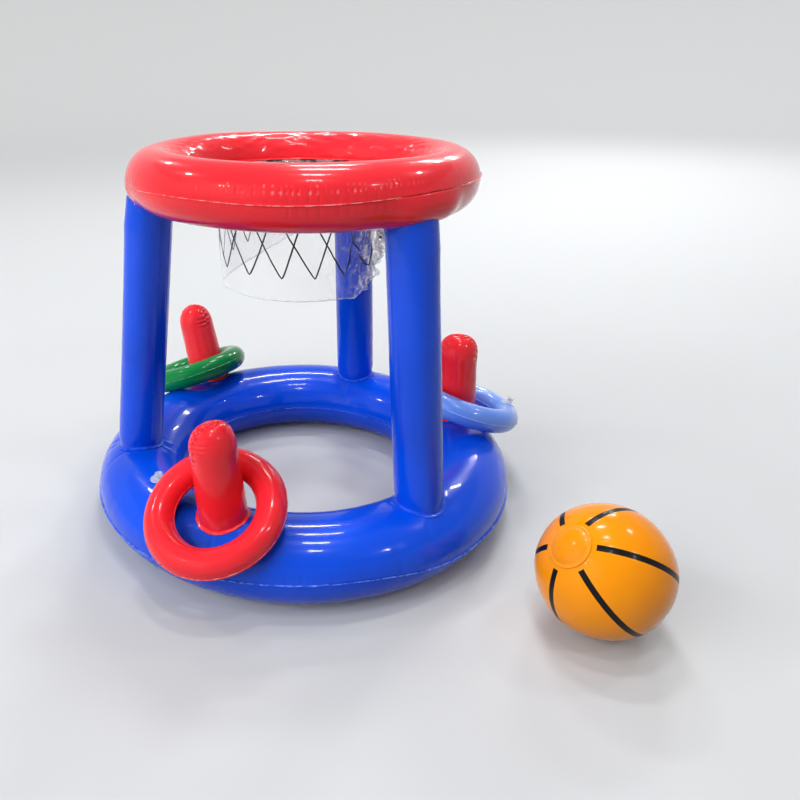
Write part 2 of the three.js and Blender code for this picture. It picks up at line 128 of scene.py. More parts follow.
# Dimples over the hoop's front weld: how many waves go round, and the seed of their draw.
DIMPLES = (190, 21)
# Where the hoop's film bulges over a column's head: azimuth, the middle and the spread along the section in
# degrees, and the height in millimetres.
HEAD_BULGES = ((90, -36, 36, 5.0), (210, -36, 36, 5.0), (332, -26, 30, 8.0))

# Toss ring: its peg, the slot and the material of its film, and its valve's place in degrees, round from the
# peg and along the section.
TossRing = namedtuple("TossRing", "peg slot finish valve_turn valve_section")
TOSS_RINGS = {
    "toss_ring_red": TossRing("peg_front", "red_film", "film_red", 208, 68),
    "toss_ring_green": TossRing("peg_left", "green_film", "film_green", 59, 75),
    "toss_ring_blue": TossRing("peg_right", "pale_blue_film", "film_pale_blue", -10, 84),
}
TOSS_WELD_THICKNESS = 0.0009

# Net skirt: the clear hem under the printed points, the diamonds round it, the height over which a line
# crosses one diamond, and a diamond's width.
NET_HEM = 0.0305
NET_DIAMONDS = 18
DIAMOND_RISE = 0.088
DIAMOND_WIDTH = 0.0344

# Ball: its seams are also the middles of its stripes, and the first lies SEAM_SHIFT of a gore round.
BALL_RADIUS = 0.076
BALL_FLAT = 0.0005
BALL_DISTANCE = 0.4526
BALL_AZIMUTH = -18.65
BALL_POLE = (-0.562, -0.513, 0.648)
BALL_FILM_IN = 0.0002
GORES = 6
SEAM_SHIFT = 11.5 / 60
STRIPE_WIDTH = 0.0068
CAP_RADIUS = 0.025
CAP_CURVE = 0.050
CAP_FILM = 0.0008
SEAT_GAP = 0.0003

# Valve: flange, stem, bore, stopper and strap.
FLANGE_RADIUS = 0.0115
FLANGE_THICKNESS = 0.0009
STEM_RADIUS = 0.0046
BORE_RADIUS = 0.0029
STEM_HEIGHT = 0.007
PLUG_RADIUS = 0.0025
PLUG_TIP_RADIUS = 0.0017
PLUG_LENGTH = 0.0037
STOPPER_RADIUS = 0.0054
STOPPER_THICKNESS = 0.0017
STRAP_WIDTH = 0.0032
STRAP_THICKNESS = 0.001
HINGE_REACH = 0.0082
HINGE_RADIUS = 0.001
ROOT_HALF = (HINGE_RADIUS, STRAP_WIDTH / 2, HINGE_RADIUS)

# Indices of refraction of the film and of its crisp outer gloss.
FILM_IOR = 1.5
COAT_IOR = 1.4


def polar(radius, angle, height):
    """Points at radii, angles in radians and heights that are spread over each other's shapes."""
    return np.stack(np.broadcast_arrays(radius * np.cos(angle), radius * np.sin(angle), height), -1)


def direction(azimuth):
    """The level unit vector at an azimuth in degrees."""
    return polar(1.0, math.radians(azimuth), 0.0)


def unit(vectors):
    """Vectors over their own lengths."""
    return vectors / np.linalg.norm(vectors, axis=-1, keepdims=True)


def smooth(x, low, high):
    """Rises from 0 at low to 1 at high along 3t^2 - 2t^3."""
    t = np.clip((x - low) / (high - low), 0, 1)
    return t * t * (3 - 2 * t)


def hump(x, middle, half, power=2):
    """1 at the middle, fading to 1/e half away from it: e^-|(x - middle) / half|^power."""
    return np.exp(-(np.abs((x - middle) / half) ** power))


def wrapped(angle):
    """An angle in radians, brought between -pi and pi."""
    return np.angle(np.exp(1j * angle))


def to_whole(x):
    """The distance to the nearest whole number."""
    return np.abs(np.mod(x + 0.5, 1) - 0.5)


def crowded(share, amount, at=0.0, times=1):
    """Moves even shares closer together at one or several places: s - k sin(2 pi n (s - at)) / (2 pi n)."""
    return share - amount * np.sin(TURN * times * (share - at)) / (TURN * times)


def eased(values, half, mode):
    """A moving mean, weighted by one arch of a cosine that reaches half steps to both sides. mode says how
    the values go on past their ends."""
    kernel = np.hanning(2 * half + 1)
    return np.convolve(np.pad(values, half, mode=mode), kernel / kernel.sum(), "valid")


class Place:
    """An origin and three axes, which carry a piece's own coordinates into the row frame."""

    def __init__(self, origin, x, y, z):
        self.origin = np.asarray(origin, float)
        self.axes = np.array([x, y, z], float)

    @classmethod
    def tipped(cls, origin, normal):
        """The world's axes, tipped by the shortest turn that brings Z to the normal."""
        normal = unit(np.asarray(normal, float))
        across = np.cross((0, 0, 1), normal)
        sine, cosine = np.linalg.norm(across), normal[2]
        if sine < 1e-9:
            return cls(origin, (1, 0, 0), (0, 1, 0), (0, 0, 1))
        k = across / sine
        cross = np.array([[0, -k[2], k[1]], [k[2], 0, -k[0]], [-k[1], k[0], 0]])
        turn = np.eye(3) + sine * cross + (1 - cosine) * cross @ cross
        return cls(origin, *turn.T)

    def out(self, points):
        """From the piece's coordinates to the row frame: o + x X + y Y + z Z."""
        return self.origin + np.asarray(points, float) @ self.axes

    def turn(self, vectors):
        """Turns vectors as out does, without the origin."""
        return np.asarray(vectors, float) @ self.axes

    def back(self, points):
        """From the row frame to the piece's coordinates: the dot products of p - o."""
        return (np.asarray(points, float) - self.origin) @ self.axes.T


def middle_axis():
    """The upright axis of both big rings, from the base ring's own box."""
    low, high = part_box("base_ring")
    return Place([(low[0] + high[0]) / 2, (low[1] + high[1]) / 2, 0], (1, 0, 0), (0, 1, 0), (0, 0, 1))


AXIS = middle_axis()


def node_points(name):
    """A solid's points, one row for each."""
    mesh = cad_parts[name].data
    flat = np.empty(len(mesh.vertices) * 3)
    mesh.vertices.foreach_get("co", flat)
    return flat.reshape(-1, 3)


def toss_place(name):
    """A toss ring's centre is the mean of its solid's points, and its axis the direction they spread
    least."""
    points = node_points(name)
    centre = points.mean(0)
    normal = np.linalg.svd(points - centre, full_matrices=False)[2][2]
    return Place.tipped(centre, normal * np.sign(normal[2]))


BALL = Place.tipped(
    AXIS.out(direction(BALL_AZIMUTH) * BALL_DISTANCE + (0, 0, BALL_RADIUS - BALL_FLAT)), BALL_POLE
)


# Waves and levels


def gathers(turns, waves, seed, cosines=9):
    """An uneven row of puckers round a closed seam: nine cosines whose whole wave numbers lie near waves,
    with seeded strengths and phases, scaled so that the tallest is 1."""
    turns = np.asarray(turns, float)
    rng = np.random.default_rng(seed)
    numbers = np.round(waves * rng.uniform(0.72, 1.28, cosines))
    strengths = rng.uniform(0.4, 1, cosines)
    phases = rng.uniform(0, TURN, cosines)
    total = sum(s * np.cos(TURN * n * turns + p) for n, s, p in zip(numbers, strengths, phases))
    return total / np.abs(total).max()


def swell(u, v, seed, most_u, most_v, cosines=8):
    """A slow, closed undulation over a tube: twice the mean of eight cosines of whole multiples of both
    turns."""
    rng = np.random.default_rng(seed)
    total = 0
    for _ in range(cosines):
        i, j = rng.integers(1, most_u + 1), rng.integers(-most_v, most_v + 1)
        total = total + rng.uniform(0.4, 1) * np.cos(TURN * (i * u + j * v) + rng.uniform(0, TURN))
    return 2 * total / cosines


def pinch(wave, sharpness=1.7):
    """Narrow valleys where the wave is high, and nothing where it is low."""
    return -np.clip(wave, 0, None) ** sharpness


def puckers(turns, waves, seed, fade, depth):
    """Uneven narrow valleys across a seam, up to depth in millimetres where the fade is 1."""
    return depth * MM * fade * pinch(gathers(turns, waves, seed))


def wavering(height, waves, seed):
    """How a weld wavers round its ring, up to a height in millimetres."""
    return lambda turns: height * MM * gathers(turns, waves, seed)


def bell(turns, azimuth, half, power=2):
    """1 at an azimuth in degrees, fading to 1/e half as many degrees away: e^-|d/half|^power."""
    return hump(np.degrees(wrapped(TURN * np.asarray(turns) - math.radians(azimuth))), 0, half, power)


def rolled(knots):
    """A closed, eased curve through pairs of azimuth and roll in degrees; it gives the roll in radians at
    turns."""
    azimuth, level = np.array(sorted(knots), float).T
    fine = np.arange(720) / 720
    level = eased(np.interp(fine * 360, azimuth, level, period=360), 17, "wrap")
    return lambda turns: np.radians(np.interp(turns, fine, level, period=1))


def near(distance, peak):
    """Zero at the seam, 1 at the peak distance and fading beyond it: (d/p) e^(1 - d/p)."""
    share = np.clip(distance, 0, None) / peak
    return share * np.exp(1 - share)


def tube_level(tube, points, growth=0.0):
    """Below zero inside a ring tube: ((rho - R)/a)^2 + ((z - h)/b)^2 - 1."""
    rho = np.hypot(points[..., 0], points[..., 1])
    across = (rho - tube.centre_radius) / (tube.half_width + growth)
    up = (points[..., 2] - tube.centre_height) / (tube.half_height + growth)
    return across**2 + up**2 - 1


def meet(start, way, reach, level, halvings=40):
    """How far along way each start point goes before the level falls under zero, by halving the reach."""
    low, high = np.zeros(start.shape[:-1]), np.full(start.shape[:-1], reach)
    for _ in range(halvings):
        half = (low + high) / 2
        inside = level(start + half[..., None] * way) < 0
        low, high = np.where(inside, low, half), np.where(inside, half, high)
    return high


# Meshes


def mesh_object(name, parts, body, slot, nodes, material):
    """One object from the parts that grid makes."""
    points, faces, uvs, welds, start = [], [], [], [], 0
    for part in parts:
        points.append(part["points"])
        faces += (part["quads"] + start).tolist() + (part["triangles"] + start).tolist()
        uvs += [part["quad_uv"].reshape(-1, 2), part["triangle_uv"].reshape(-1, 2)]
        welds.append(part["weld"])
        start += len(part["points"])
    mesh = bpy.data.meshes.new(name)
    mesh.from_pydata(np.concatenate(points).tolist(), [], faces)
    mesh.uv_layers.new(name="film").data.foreach_set("uv", np.concatenate(uvs).ravel().astype(np.float32))
    weld = mesh.attributes.new("weld", "FLOAT", "POINT")
    weld.data.foreach_set("value", np.concatenate(welds).astype(np.float32))
    piece = linked(name, mesh, material)
    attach(piece, body)
    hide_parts(*nodes)
    return piece


def linked(name, mesh, material):
    """A smooth object in the scene, from a mesh and its material."""
    mesh.shade_smooth()
    mesh.materials.append(material)
    made = bpy.data.objects.new(name, mesh)
    bpy.context.scene.collection.objects.link(made)
    return made


def grid(points, along=False, first=None, last=None, v=None, weld=0.0, flip=False):
    """Quads over rows and columns of points. Every row closes on itself, along joins the last row to the
    first, and first and last are poles that a fan closes the end rows with. v runs down the rows, and weld
    says how pale the film is at each point."""
    rows, columns = points.shape[:2]
    i = np.arange(rows if along else rows - 1)[:, None]
    j = np.arange(columns)[None, :]
    i2, j2 = (i + 1) % rows, (j + 1) % columns
    quads = [i * columns + j, i * columns + j2, i2 * columns + j2, i2 * columns + j]
    quads = np.stack(quads, -1).reshape(-1, 4)
    u = np.linspace(0, 1, columns + 1)
    v = np.linspace(0, 1, rows + 1) if v is None else np.asarray(v, float)
    i, j = np.broadcast_arrays(i, j)
    corners = [np.stack([u[j + a], v[i + b]], -1) for a, b in ((0, 0), (1, 0), (1, 1), (0, 1))]
    uv = np.stack(corners, -2).reshape(-1, 4, 2)
    flat = points.reshape(-1, 3)
    triangles, triangle_uv = [np.zeros((0, 3), int)], [np.zeros((0, 3, 2))]
    for pole, row, order in ((first, 0, 1), (last, rows - 1, -1)):
        if pole is None:
            continue
        fan = [np.full(columns, len(flat)), row * columns + j2[0], row * columns + j[0]]
        triangles.append(np.stack(fan[::order], -1))
        ends = [np.stack([x, np.full(columns, v[row])], -1) for x in ((u[:-1] + u[1:]) / 2, u[1:], u[:-1])]
        triangle_uv.append(np.stack(ends[::order], -2))
        flat = np.concatenate([flat, [pole]])
    triangles, triangle_uv = np.concatenate(triangles), np.concatenate(triangle_uv)
    if flip:
        quads, uv = quads[:, ::-1], uv[:, ::-1]
        triangles, triangle_uv = triangles[:, ::-1], triangle_uv[:, ::-1]
    weld = np.broadcast_to(np.asarray(weld, float), points.shape[:2]).ravel()
    weld = np.concatenate([weld, np.zeros(len(flat) - len(weld))])
    return {
        "points": flat, "weld": weld, "quads": quads, "triangles": triangles, "quad_uv": uv,
        "triangle_uv": triangle_uv,
    }


# Ring tubes


def ring_grid(
    place, tube, columns, upper, lower, fins, fin_thickness, bulge, waver, floor=None, roll=None, dense=None,
    painted_highlights=None,
):
    """A welded ring tube: the section is an ellipse with a flat fin at the outer and the inner equator,
    carried round the axis. upper and lower count its points above and under the equator, and fins are the
    outer and the inner fin's widths. bulge(turns, angle, points) moves the film along its normal,
    waver(turns) lifts the fins, roll(turns) turns the outer weld along the section by ((1 + cos a) / 2)^2,
    the columns lie closer together round the azimuth dense, and marks(turns, angle) paints highlights on
    the film as paler colour."""
    outer_fin, inner_fin = fins
    half, edge = fin_thickness / 2, fin_thickness / 5
    root = math.asin(half / tube.half_height)
    outline = np.array([(0.12, half), (0.75, half), (1, half - edge)])
    outline = np.concatenate([outline, outline[::-1] * (1, -1)])
    around = len(outline)

    def arc(start, end, count):
        """Section angles that lie closer together near the two seams."""
        return start + (end - start) * crowded(np.linspace(0, 1, count), 0.6)

    top, under = arc(root, math.pi - root, upper), arc(math.pi + root, TURN - root, lower)
    angle = np.concatenate([top, np.full(around, math.pi), under, np.full(around, TURN)])
    film = np.concatenate([np.ones(upper), np.zeros(around), np.ones(lower), np.zeros(around)])
    stand, rise = np.zeros((2, len(angle), 1))
    for start, width in ((upper, inner_fin), (len(angle) - around, outer_fin)):
        stand[start : start + around, 0] = outline[:, 0] * width
        rise[start : start + around, 0] = -outline[:, 1]
    turns = (np.arange(columns) / columns)[None, :]
    if dense is not None:
        turns = crowded(turns, 0.4, dense / 360)

    def at(offset):
        """Points round the axis, from offsets across and up in the section."""
        return polar(tube.centre_radius + offset[..., 0], TURN * turns, tube.centre_height + offset[..., 1])

    turned = angle[:, None] + 0 * turns
    if roll is not None:
        turned = turned + roll(turns) * (((1 + np.cos(angle)) / 2) ** 2)[:, None]
    circle = np.stack([np.cos(turned), np.sin(turned)], -1)
    radii = np.array([tube.half_width, tube.half_height])
    normal = unit(circle / radii)
    tangent = np.stack([-normal[..., 1], normal[..., 0]], -1)
    offset = circle * radii
    moved = bulge(turns, angle[:, None], at(offset)) * film[:, None]
    lift = waver(turns) * stand / max(fins)
    offset = offset + (stand + moved)[..., None] * normal + (rise + lift)[..., None] * tangent
    points = at(offset)
    if floor is not None:
        points[..., 2] = np.maximum(points[..., 2], floor)
    # The fins are paler, which the film's material draws partly as the weld's own whitening and partly as
    # painted highlight dashes.
    inside = np.where(np.cos(angle) > 0, 1, INNER_WELD_PALE)
    pale = ((1 - film) * inside)[:, None] + 0 * turns
    # Painted highlights are added as paler colour on the film where marks asks for them.
    if painted_highlights is not None:
        pale = np.maximum(pale, painted_highlights(turns, angle[:, None]) * film[:, None])
    return grid(place.out(points), along=True, v=np.append(angle, TURN + root) / TURN, weld=pale)


def seam_distance(tube, angle):
    """Arc length from the outer and from the inner seam, near enough: the mean radius times the angle."""
    mean = (tube.half_width + tube.half_height) / 2
    turn = np.mod(angle, TURN)
    outer = mean * np.minimum(turn, TURN - turn)
    inner = mean * np.abs(turn - math.pi)
    return outer, inner


def foot_creases(points, feet, seed, depth=0.0013, crease=0.0011):
    """Round each welded foot the film sinks in a groove just outside the collar, and sharp folds run away
    from it: a valley with two low lips, whose width grows slowly and whose depth fades with the
    distance."""
    rng = np.random.default_rng(seed)
    total = np.zeros(points.shape[:-1])
    for place, radius, angles in feet:
        local = place.back(points)
        near_side = local[..., 2] > -0.06
        around = np.arctan2(local[..., 1], local[..., 0])
        beyond = np.hypot(local[..., 0], local[..., 1]) - radius
        ease = smooth(beyond, 0, 0.004) * near_side
        wobble = 0.75 + 0.25 * np.cos(3 * around + rng.uniform(0, TURN))
        total -= depth * wobble * near(beyond, 0.0065) * near_side
        for fold in angles:
            length = rng.uniform(0.012, 0.024)
            drift = rng.uniform(-6, 6)
            aim = math.radians(fold) + drift * np.clip(beyond, 0, 0.05)
            wide = 0.0030 + 0.16 * np.clip(beyond, 0, 0.05)
            share = (wrapped(around - aim) * (beyond + radius) / wide) ** 2
            valley = (1 - 1.2 * share) * np.exp(-share) * np.exp(-np.clip(beyond, 0, 1) / length)
            total -= crease * valley * ease
    return total


def column_line(azimuth):
    """The column's outward and sideways directions, and its middle at a height."""
    out, side = direction(azimuth), direction(azimuth + 90)
    lean = (COLUMN_HEAD_CIRCLE - COLUMN_FOOT_CIRCLE) / (COLUMN_HEAD_HEIGHT - COLUMN_FOOT_HEIGHT)
    start = COLUMN_HEAD_HEIGHT - 0.024

    def middle(height):
        """The circle's radius grows with the lean, less the tuck under the head."""
        tuck = COLUMN_HEAD_TUCK * np.clip((height - start) / 0.048, 0, 1)
        circle = COLUMN_FOOT_CIRCLE + lean * (height - COLUMN_FOOT_HEIGHT) - tuck
        return circle[..., None] * out + height[..., None] * np.array([0, 0, 1.0])

    return out, side, middle, lean


def peg_line(peg):
    """The peg's outward direction, its foot on the base ring's top, and its leaning axis."""
    out, left = direction(peg.azimuth), direction(peg.azimuth + 90)
    share = peg.outset / BASE.half_width
    height = BASE.centre_height + BASE.half_height * math.sqrt(1 - share**2)
    foot = out * (BASE.centre_radius + peg.outset) + (0, 0, height)
    axis = out * math.tan(math.radians(peg.lean)) + left * math.tan(math.radians(peg.side_lean)) + (0, 0, 1)
    return out, foot, unit(axis)


def base_feet():
    """Where columns and pegs stand on the base ring: place, collar radius and the angles of the folds."""
    feet = []
    for name, azimuth in COLUMNS.items():
        out, side, middle, lean = column_line(azimuth)
        way = unit(out * lean + (0, 0, 1.0))
        place = Place(middle(np.array(COLUMN_FOOT_HEIGHT)), out - way * out.dot(way), side, way)
        turned = [fold - azimuth for fold in FOOT_FOLDS[name]]
        feet.append((place, COLUMN_FOOT_RADIUS - COLUMN_FOOT_NECK + COLLAR_WIDTH, turned))
    for name, peg in PEGS.items():
        out, foot, axis = peg_line(peg)
        across = unit(out - axis * out.dot(axis))
        place = Place(foot, across, np.cross(axis, across), axis)
        turned = [fold - peg.azimuth for fold in FOOT_FOLDS[name]]
        feet.append((place, PEG_RADIUS + COLLAR_WIDTH, turned))
    return feet


def base_bulge(turns, angle, points):
    """Fine puckers off both welds, longer slack waves, a slow swell, and the creases at the feet."""
    outer, inner = seam_distance(BASE, angle)
    fine = puckers(turns, 96, 3, near(outer, 0.005), 0.7)
    long = puckers(turns, 44, 4, near(outer, 0.013), 0.8)
    inside = puckers(turns, 50, 5, near(inner, 0.008), 0.6)
    slow = swell(turns, angle / TURN, 6, 7, 2) * 0.9 * MM * smooth(np.sin(angle), -0.7, 0.1)
    return fine + long + inside + slow + foot_creases(points, base_feet(), 7)


def hoop_bulge(turns, angle, points):
    """Puckers and a row of dimples off the outer weld, strongest at the front, dents and blobs down the
    inside of the hole, a crumple beside the left column, bulges over the column heads, a fuller underside,
    and a slow swell."""
    outer, inner = seam_distance(HOOP, angle)
    upper = np.sin(angle) > 0
    fine = puckers(turns, 112, 13, near(outer, 0.0045), 0.25 + 0.35 * bell(turns, FRONT, 38))
    long = puckers(turns, 60, 14, near(outer, 0.016), 0.12)
    row = hump(outer, 0.0132, 0.0026) * upper
    dimples = puckers(turns, *DIMPLES, row * bell(turns, -66, 34, 4), 1.9)
    dents = puckers(turns, 58, 15, near(inner, 0.014), 0.4)
    blobs = gathers(turns, 24, 22) * np.cos(16 * angle + 2.4 * gathers(turns, 11, 23))
    blobs = blobs * hump(inner, 0.028, 0.017) * upper * MM
    crumple = bell(turns, 230, 8) * gathers(turns, 150, 16) * np.cos(9 * angle + 4 * gathers(turns, 30, 17))
    crumple = crumple * hump(angle, 0.30, 0.24) * 0.8 * MM
    slow = swell(turns, angle / TURN, 19, 6, 2) * 0.7 * MM
    rho = np.hypot(points[..., 0], points[..., 1]) - HOOP.centre_radius
    section = np.degrees(np.arctan2(points[..., 2] - HOOP.centre_height, rho))
    fuller = hump(section, -60, 50) * 1.6 * MM
    for azimuth, middle, spread, height in HEAD_BULGES:
        fuller = fuller + bell(turns, azimuth, 12, 4) * hump(section, middle, spread) * height * MM
    return fine + long + dimples + dents + blobs + crumple + slow + fuller


def hoop_dimple_highlights(turns, angle):
    """Painted highlights: two rows of small pale dots on the dimples over the front weld, where the puckers
    would glint, the upper one with gaps.
    """
    outer, _ = seam_distance(HOOP, angle)
    dots = smooth(gathers(turns, *DIMPLES), 0.12, 0.42)
    low = hump(outer, 0.0125, 0.0014)
    high = hump(outer, 0.0190, 0.0012) * smooth(gathers(turns, 30, 24), -0.1, 0.2)
    return (low + high) * dots * bell(turns, -64, 30, 4) * (np.sin(angle) > 0)


def toss_bulge(seed):
    """The small rings are tight: short puckers off the welds and a slight swell."""

    def bulge(turns, angle, _):
        outer, inner = seam_distance(TOSS, angle)
        tight = puckers(turns, 34, seed, near(inner, 0.005), 0.45)
        rim = puckers(turns, 52, seed + 1, near(outer, 0.004), 0.2)
        return tight + rim + swell(turns, angle / TURN, seed + 2, 4, 1) * 0.35 * MM

    return bulge


# Columns and pegs


def lander(tube, start, spoke, way, reach):
    """Gives a function that sends points at a radius round the start along a way, until they land on a ring
    tube's film or a growth above it."""

    def land(radius, growth=0.0):
        """Start, plus radius times spoke, plus the way until the film is met."""
        origin = start + radius[:, None] * spoke
        far = meet(origin, way, reach, lambda points: tube_level(tube, points, growth + SEAT_GAP))
        return origin + far[:, None] * way

    return land


def collar(land, radius, width, inset, lip, ragged):
    """Rows of points that run out under a tube's end along the film, round the ragged edge of its weld and
    back in to the tube. inset rounds the edge, and lip is how far from the tube the rows end."""
    edge = radius + width
    spread = (radius * 0.4, radius * 0.8, edge - inset, edge, edge, edge - inset, radius + lip)
    lifts = (0, 0, 0, 0.3, 0.8, 1, 1)
    return [land(r + ragged * (r > radius), lift * COLLAR_THICKNESS) for r, lift in zip(spread, lifts)]


def column_grid(azimuth, flare, seed, columns=120, rows=88):
    """A leaning tube between the two rings. Its level sections are circles that draw in at both welds and
    flare under the head; small gathers fade away from the welds, and flat panels and a straight side weld
    run up it."""
    out, side, middle, lean = column_line(azimuth)
    turns = np.arange(columns) / columns
    spoke = np.cos(TURN * turns)[:, None] * out + np.sin(TURN * turns)[:, None] * side
    slope = out * lean + (0, 0, 1.0)
    on_base = lander(BASE, middle(np.array(COLUMN_FOOT_HEIGHT + 0.02)), spoke, -slope, reach=0.07)
    on_hoop = lander(HOOP, middle(np.array(COLUMN_HEAD_HEIGHT - 0.02)), spoke, slope, reach=0.04)
    ragged = 0.1 * gathers(turns, 17, seed + 5)

    def welded(land, radius, width):
        """A collar whose edge, lip and raggedness go with its width."""
        return collar(land, radius, width, 0.2 * width, 0.3 * width, width * ragged)

    foot = welded(on_base, COLUMN_FOOT_RADIUS - COLUMN_FOOT_NECK, COLLAR_WIDTH)
    head = welded(on_hoop, COLUMN_HEAD_RADIUS - COLUMN_HEAD_NECK, COLLAR_WIDTH / 4)
    low, high = foot[-1][:, 2] + 0.0006, head[-1][:, 2] - 0.0006
    share = crowded(np.linspace(0, 1, rows), 0.72)[:, None]
    height = low + (high - low) * share
    above, below = height - low, high - height
    radius = COLUMN_FOOT_RADIUS + (COLUMN_HEAD_RADIUS - COLUMN_FOOT_RADIUS) * share
    radius = radius - COLUMN_FOOT_NECK * hump(above, 0, 0.009) - COLUMN_HEAD_NECK * hump(below, 0, 0.004)
    toward, far = flare
    wide = np.clip(np.cos(TURN * turns - math.radians(toward)), 0, 1) * far
    radius = radius + wide * np.exp(-below / 0.045) * smooth(below, 0.001, 0.010)
    radius = radius + puckers(turns, 15, seed, np.exp(-above / 0.008), 1.1)
    radius = radius + puckers(turns, 13, seed + 1, np.exp(-below / 0.012), 1.3)
    panels = gathers(turns, 5, seed + 2) + 0.5 * np.cos(TURN * (2 * turns + 1.5 * share))
    radius = radius + panels * 0.22 * MM * smooth(above, 0, 0.03)
    weld = hump(wrapped(TURN * turns - 2.1), 0, 0.035)
    radius = radius + 0.35 * MM * weld * smooth(above, 0, 0.01) * smooth(below, 0, 0.01)
    tube = middle(height) + radius[..., None] * spoke
    points = np.concatenate([foot, tube, head[::-1]])
    first, last = on_base(np.zeros(columns))[0], on_hoop(np.zeros(columns))[0]
    # The collars and the side weld are paler: partly weld whitening, partly painted highlight dashes from the
    # film's material.
    pale = np.full(points.shape[:2], COLLAR_PALE)
    pale[len(foot) : -len(head)] = 0.1 * weld
    return grid(AXIS.out(points), first=AXIS.out(first), last=AXIS.out(last), weld=pale)


def peg_grid(peg, seed, columns=144):
    """A leaning tube closed by a flat weld over its tip. In the dome the section goes from a circle to a
    slit: the width follows a rounded square profile and the depth a circle. A thin fin stands on the two
    sides where the weld runs, and puckers cross it."""
    _, foot, axis = peg_line(peg)
    level = direction(peg.azimuth + 90)
    level = unit(level - axis * level.dot(axis))
    angle = math.radians(peg.tip_turn)
    side = level * math.cos(angle) + np.cross(axis, level) * math.sin(angle)
    front = np.cross(axis, side)
    turns = crowded(np.arange(columns) / columns, 0.66, times=2)
    cosine, sine = np.cos(TURN * turns), np.sin(TURN * turns)
    spoke = cosine[:, None] * side + sine[:, None] * front
    on_base = lander(BASE, foot + axis * 0.03, spoke, -axis, reach=0.09)
    ragged = 0.0005 * gathers(turns, 13, seed + 5)
    welded = collar(on_base, PEG_RADIUS, COLLAR_WIDTH, inset=0.0006, lip=0.0010, ragged=ragged)
    low = (welded[-1] - foot) @ axis + 0.0005
    straight = PEG_LENGTH - PEG_DOME
    body = np.linspace(0, 1, 56)[:, None]
    share = np.sin(np.linspace(0, 1, 90)[1:-1, None] ** 0.9 * math.pi / 2) - 0.0002
    tip = np.broadcast_to(straight + PEG_DOME * share, (len(share), columns))
    height = np.concatenate([low + (straight - low) * body, tip])
    narrowing = PEG_RADIUS + (PEG_TIP_RADIUS - PEG_RADIUS) * smooth(body, 0.1, 1)
    wide = np.concatenate([narrowing, PEG_TIP_RADIUS * (1 - share**PEG_CORNER) ** (1 / PEG_CORNER)])
    deep = np.concatenate([narrowing, PEG_TIP_RADIUS * np.sqrt(1 - share**2)])
    way = np.hypot(np.diff(wide[:, 0]), np.diff(height.mean(1)))
    seam_way = np.concatenate([[0], np.cumsum(way)])[:, None]
    from_side = np.minimum(np.abs(wrapped(TURN * turns)), np.abs(wrapped(TURN * turns - math.pi)))
    from_seam = from_side * deep
    dome = smooth(height, straight - 0.022, straight + 0.006)
    sides = np.sign(cosine)
    pitch = 0.0078 + 0.0010 * sides
    waves = TURN * seam_way / pitch + 1.8 * np.sin(seam_way / 0.009 + 2 * sides) + 1.2 * np.sign(sine)
    waves = waves + 1.1 * np.sin(seam_way / 0.0047 + seed)
    reach = 0.0105 + 0.0055 * np.sin(seam_way / 0.0067 + 2 * sides + np.sign(sine))
    wrinkle = np.clip(np.cos(waves), -0.35, 1)
    moved = -MM * dome * (1.5 * wrinkle * hump(from_seam, 0, reach) + 0.7 * hump(from_seam, 0, 0.005))
    moved = moved + puckers(turns, 9, seed + 2, np.exp(-np.abs(height - low) / 0.010), 0.8)
    moved = moved + gathers(turns, 4, seed + 3) * 0.25 * MM * (1 - dome)
    fin = hump(from_seam, 0, 0.0008, 4) * smooth(height, straight - 0.014, straight + 0.004)
    across = (wide + moved + fin * PEG_WELD_STAND)[..., None] * cosine[:, None] * side
    across = across + (deep + moved * np.minimum(1, deep / 0.01))[..., None] * sine[:, None] * front
    droop = -0.6 * moved * smooth(height, straight + 0.015, PEG_LENGTH)
    tube = foot + (height - droop + fin * 0.7 * MM)[..., None] * axis + across
    points = np.concatenate([welded, tube])
    first, last = on_base(np.zeros(columns))[0], foot + axis * (PEG_LENGTH + PEG_WELD_STAND)
    # The collar and the tip's weld fin are paler: partly weld whitening, partly painted highlight dashes from
    # the film's material.
    pale = np.full(points.shape[:2], COLLAR_PALE)
    pale[len(welded) :] = fin * 0.5
    return grid(AXIS.out(points), first=AXIS.out(first), last=AXIS.out(last), weld=pale)


# Net skirt


def net_section():
    """The skirt's section from the weld under the hoop ring to the hem, as pairs of radius and height, and
    the lengths along it."""
    rim = HOOP.centre_height - 0.0006 - SEAT_GAP - 0.0004
    weld_out = HOOP.centre_radius - HOOP.half_width - 2 * SEAT_GAP
    radius = (weld_out, weld_out - 0.007, weld_out - 0.0225, 0.1185, 0.1128, 0.1112, 0.1098)
    fall = (0, 0, 0.0150, 0.0320, 0.0480, 0.0900, 0.1390)
    section = np.stack([radius, rim - np.array(fall)], -1)
    steps = np.linalg.norm(np.diff(section, axis=0), axis=1)
    return section, np.concatenate([[0], np.cumsum(steps)])


NET_SECTION, NET_ALONG = net_section()
NET_LENGTH = NET_ALONG[-1]


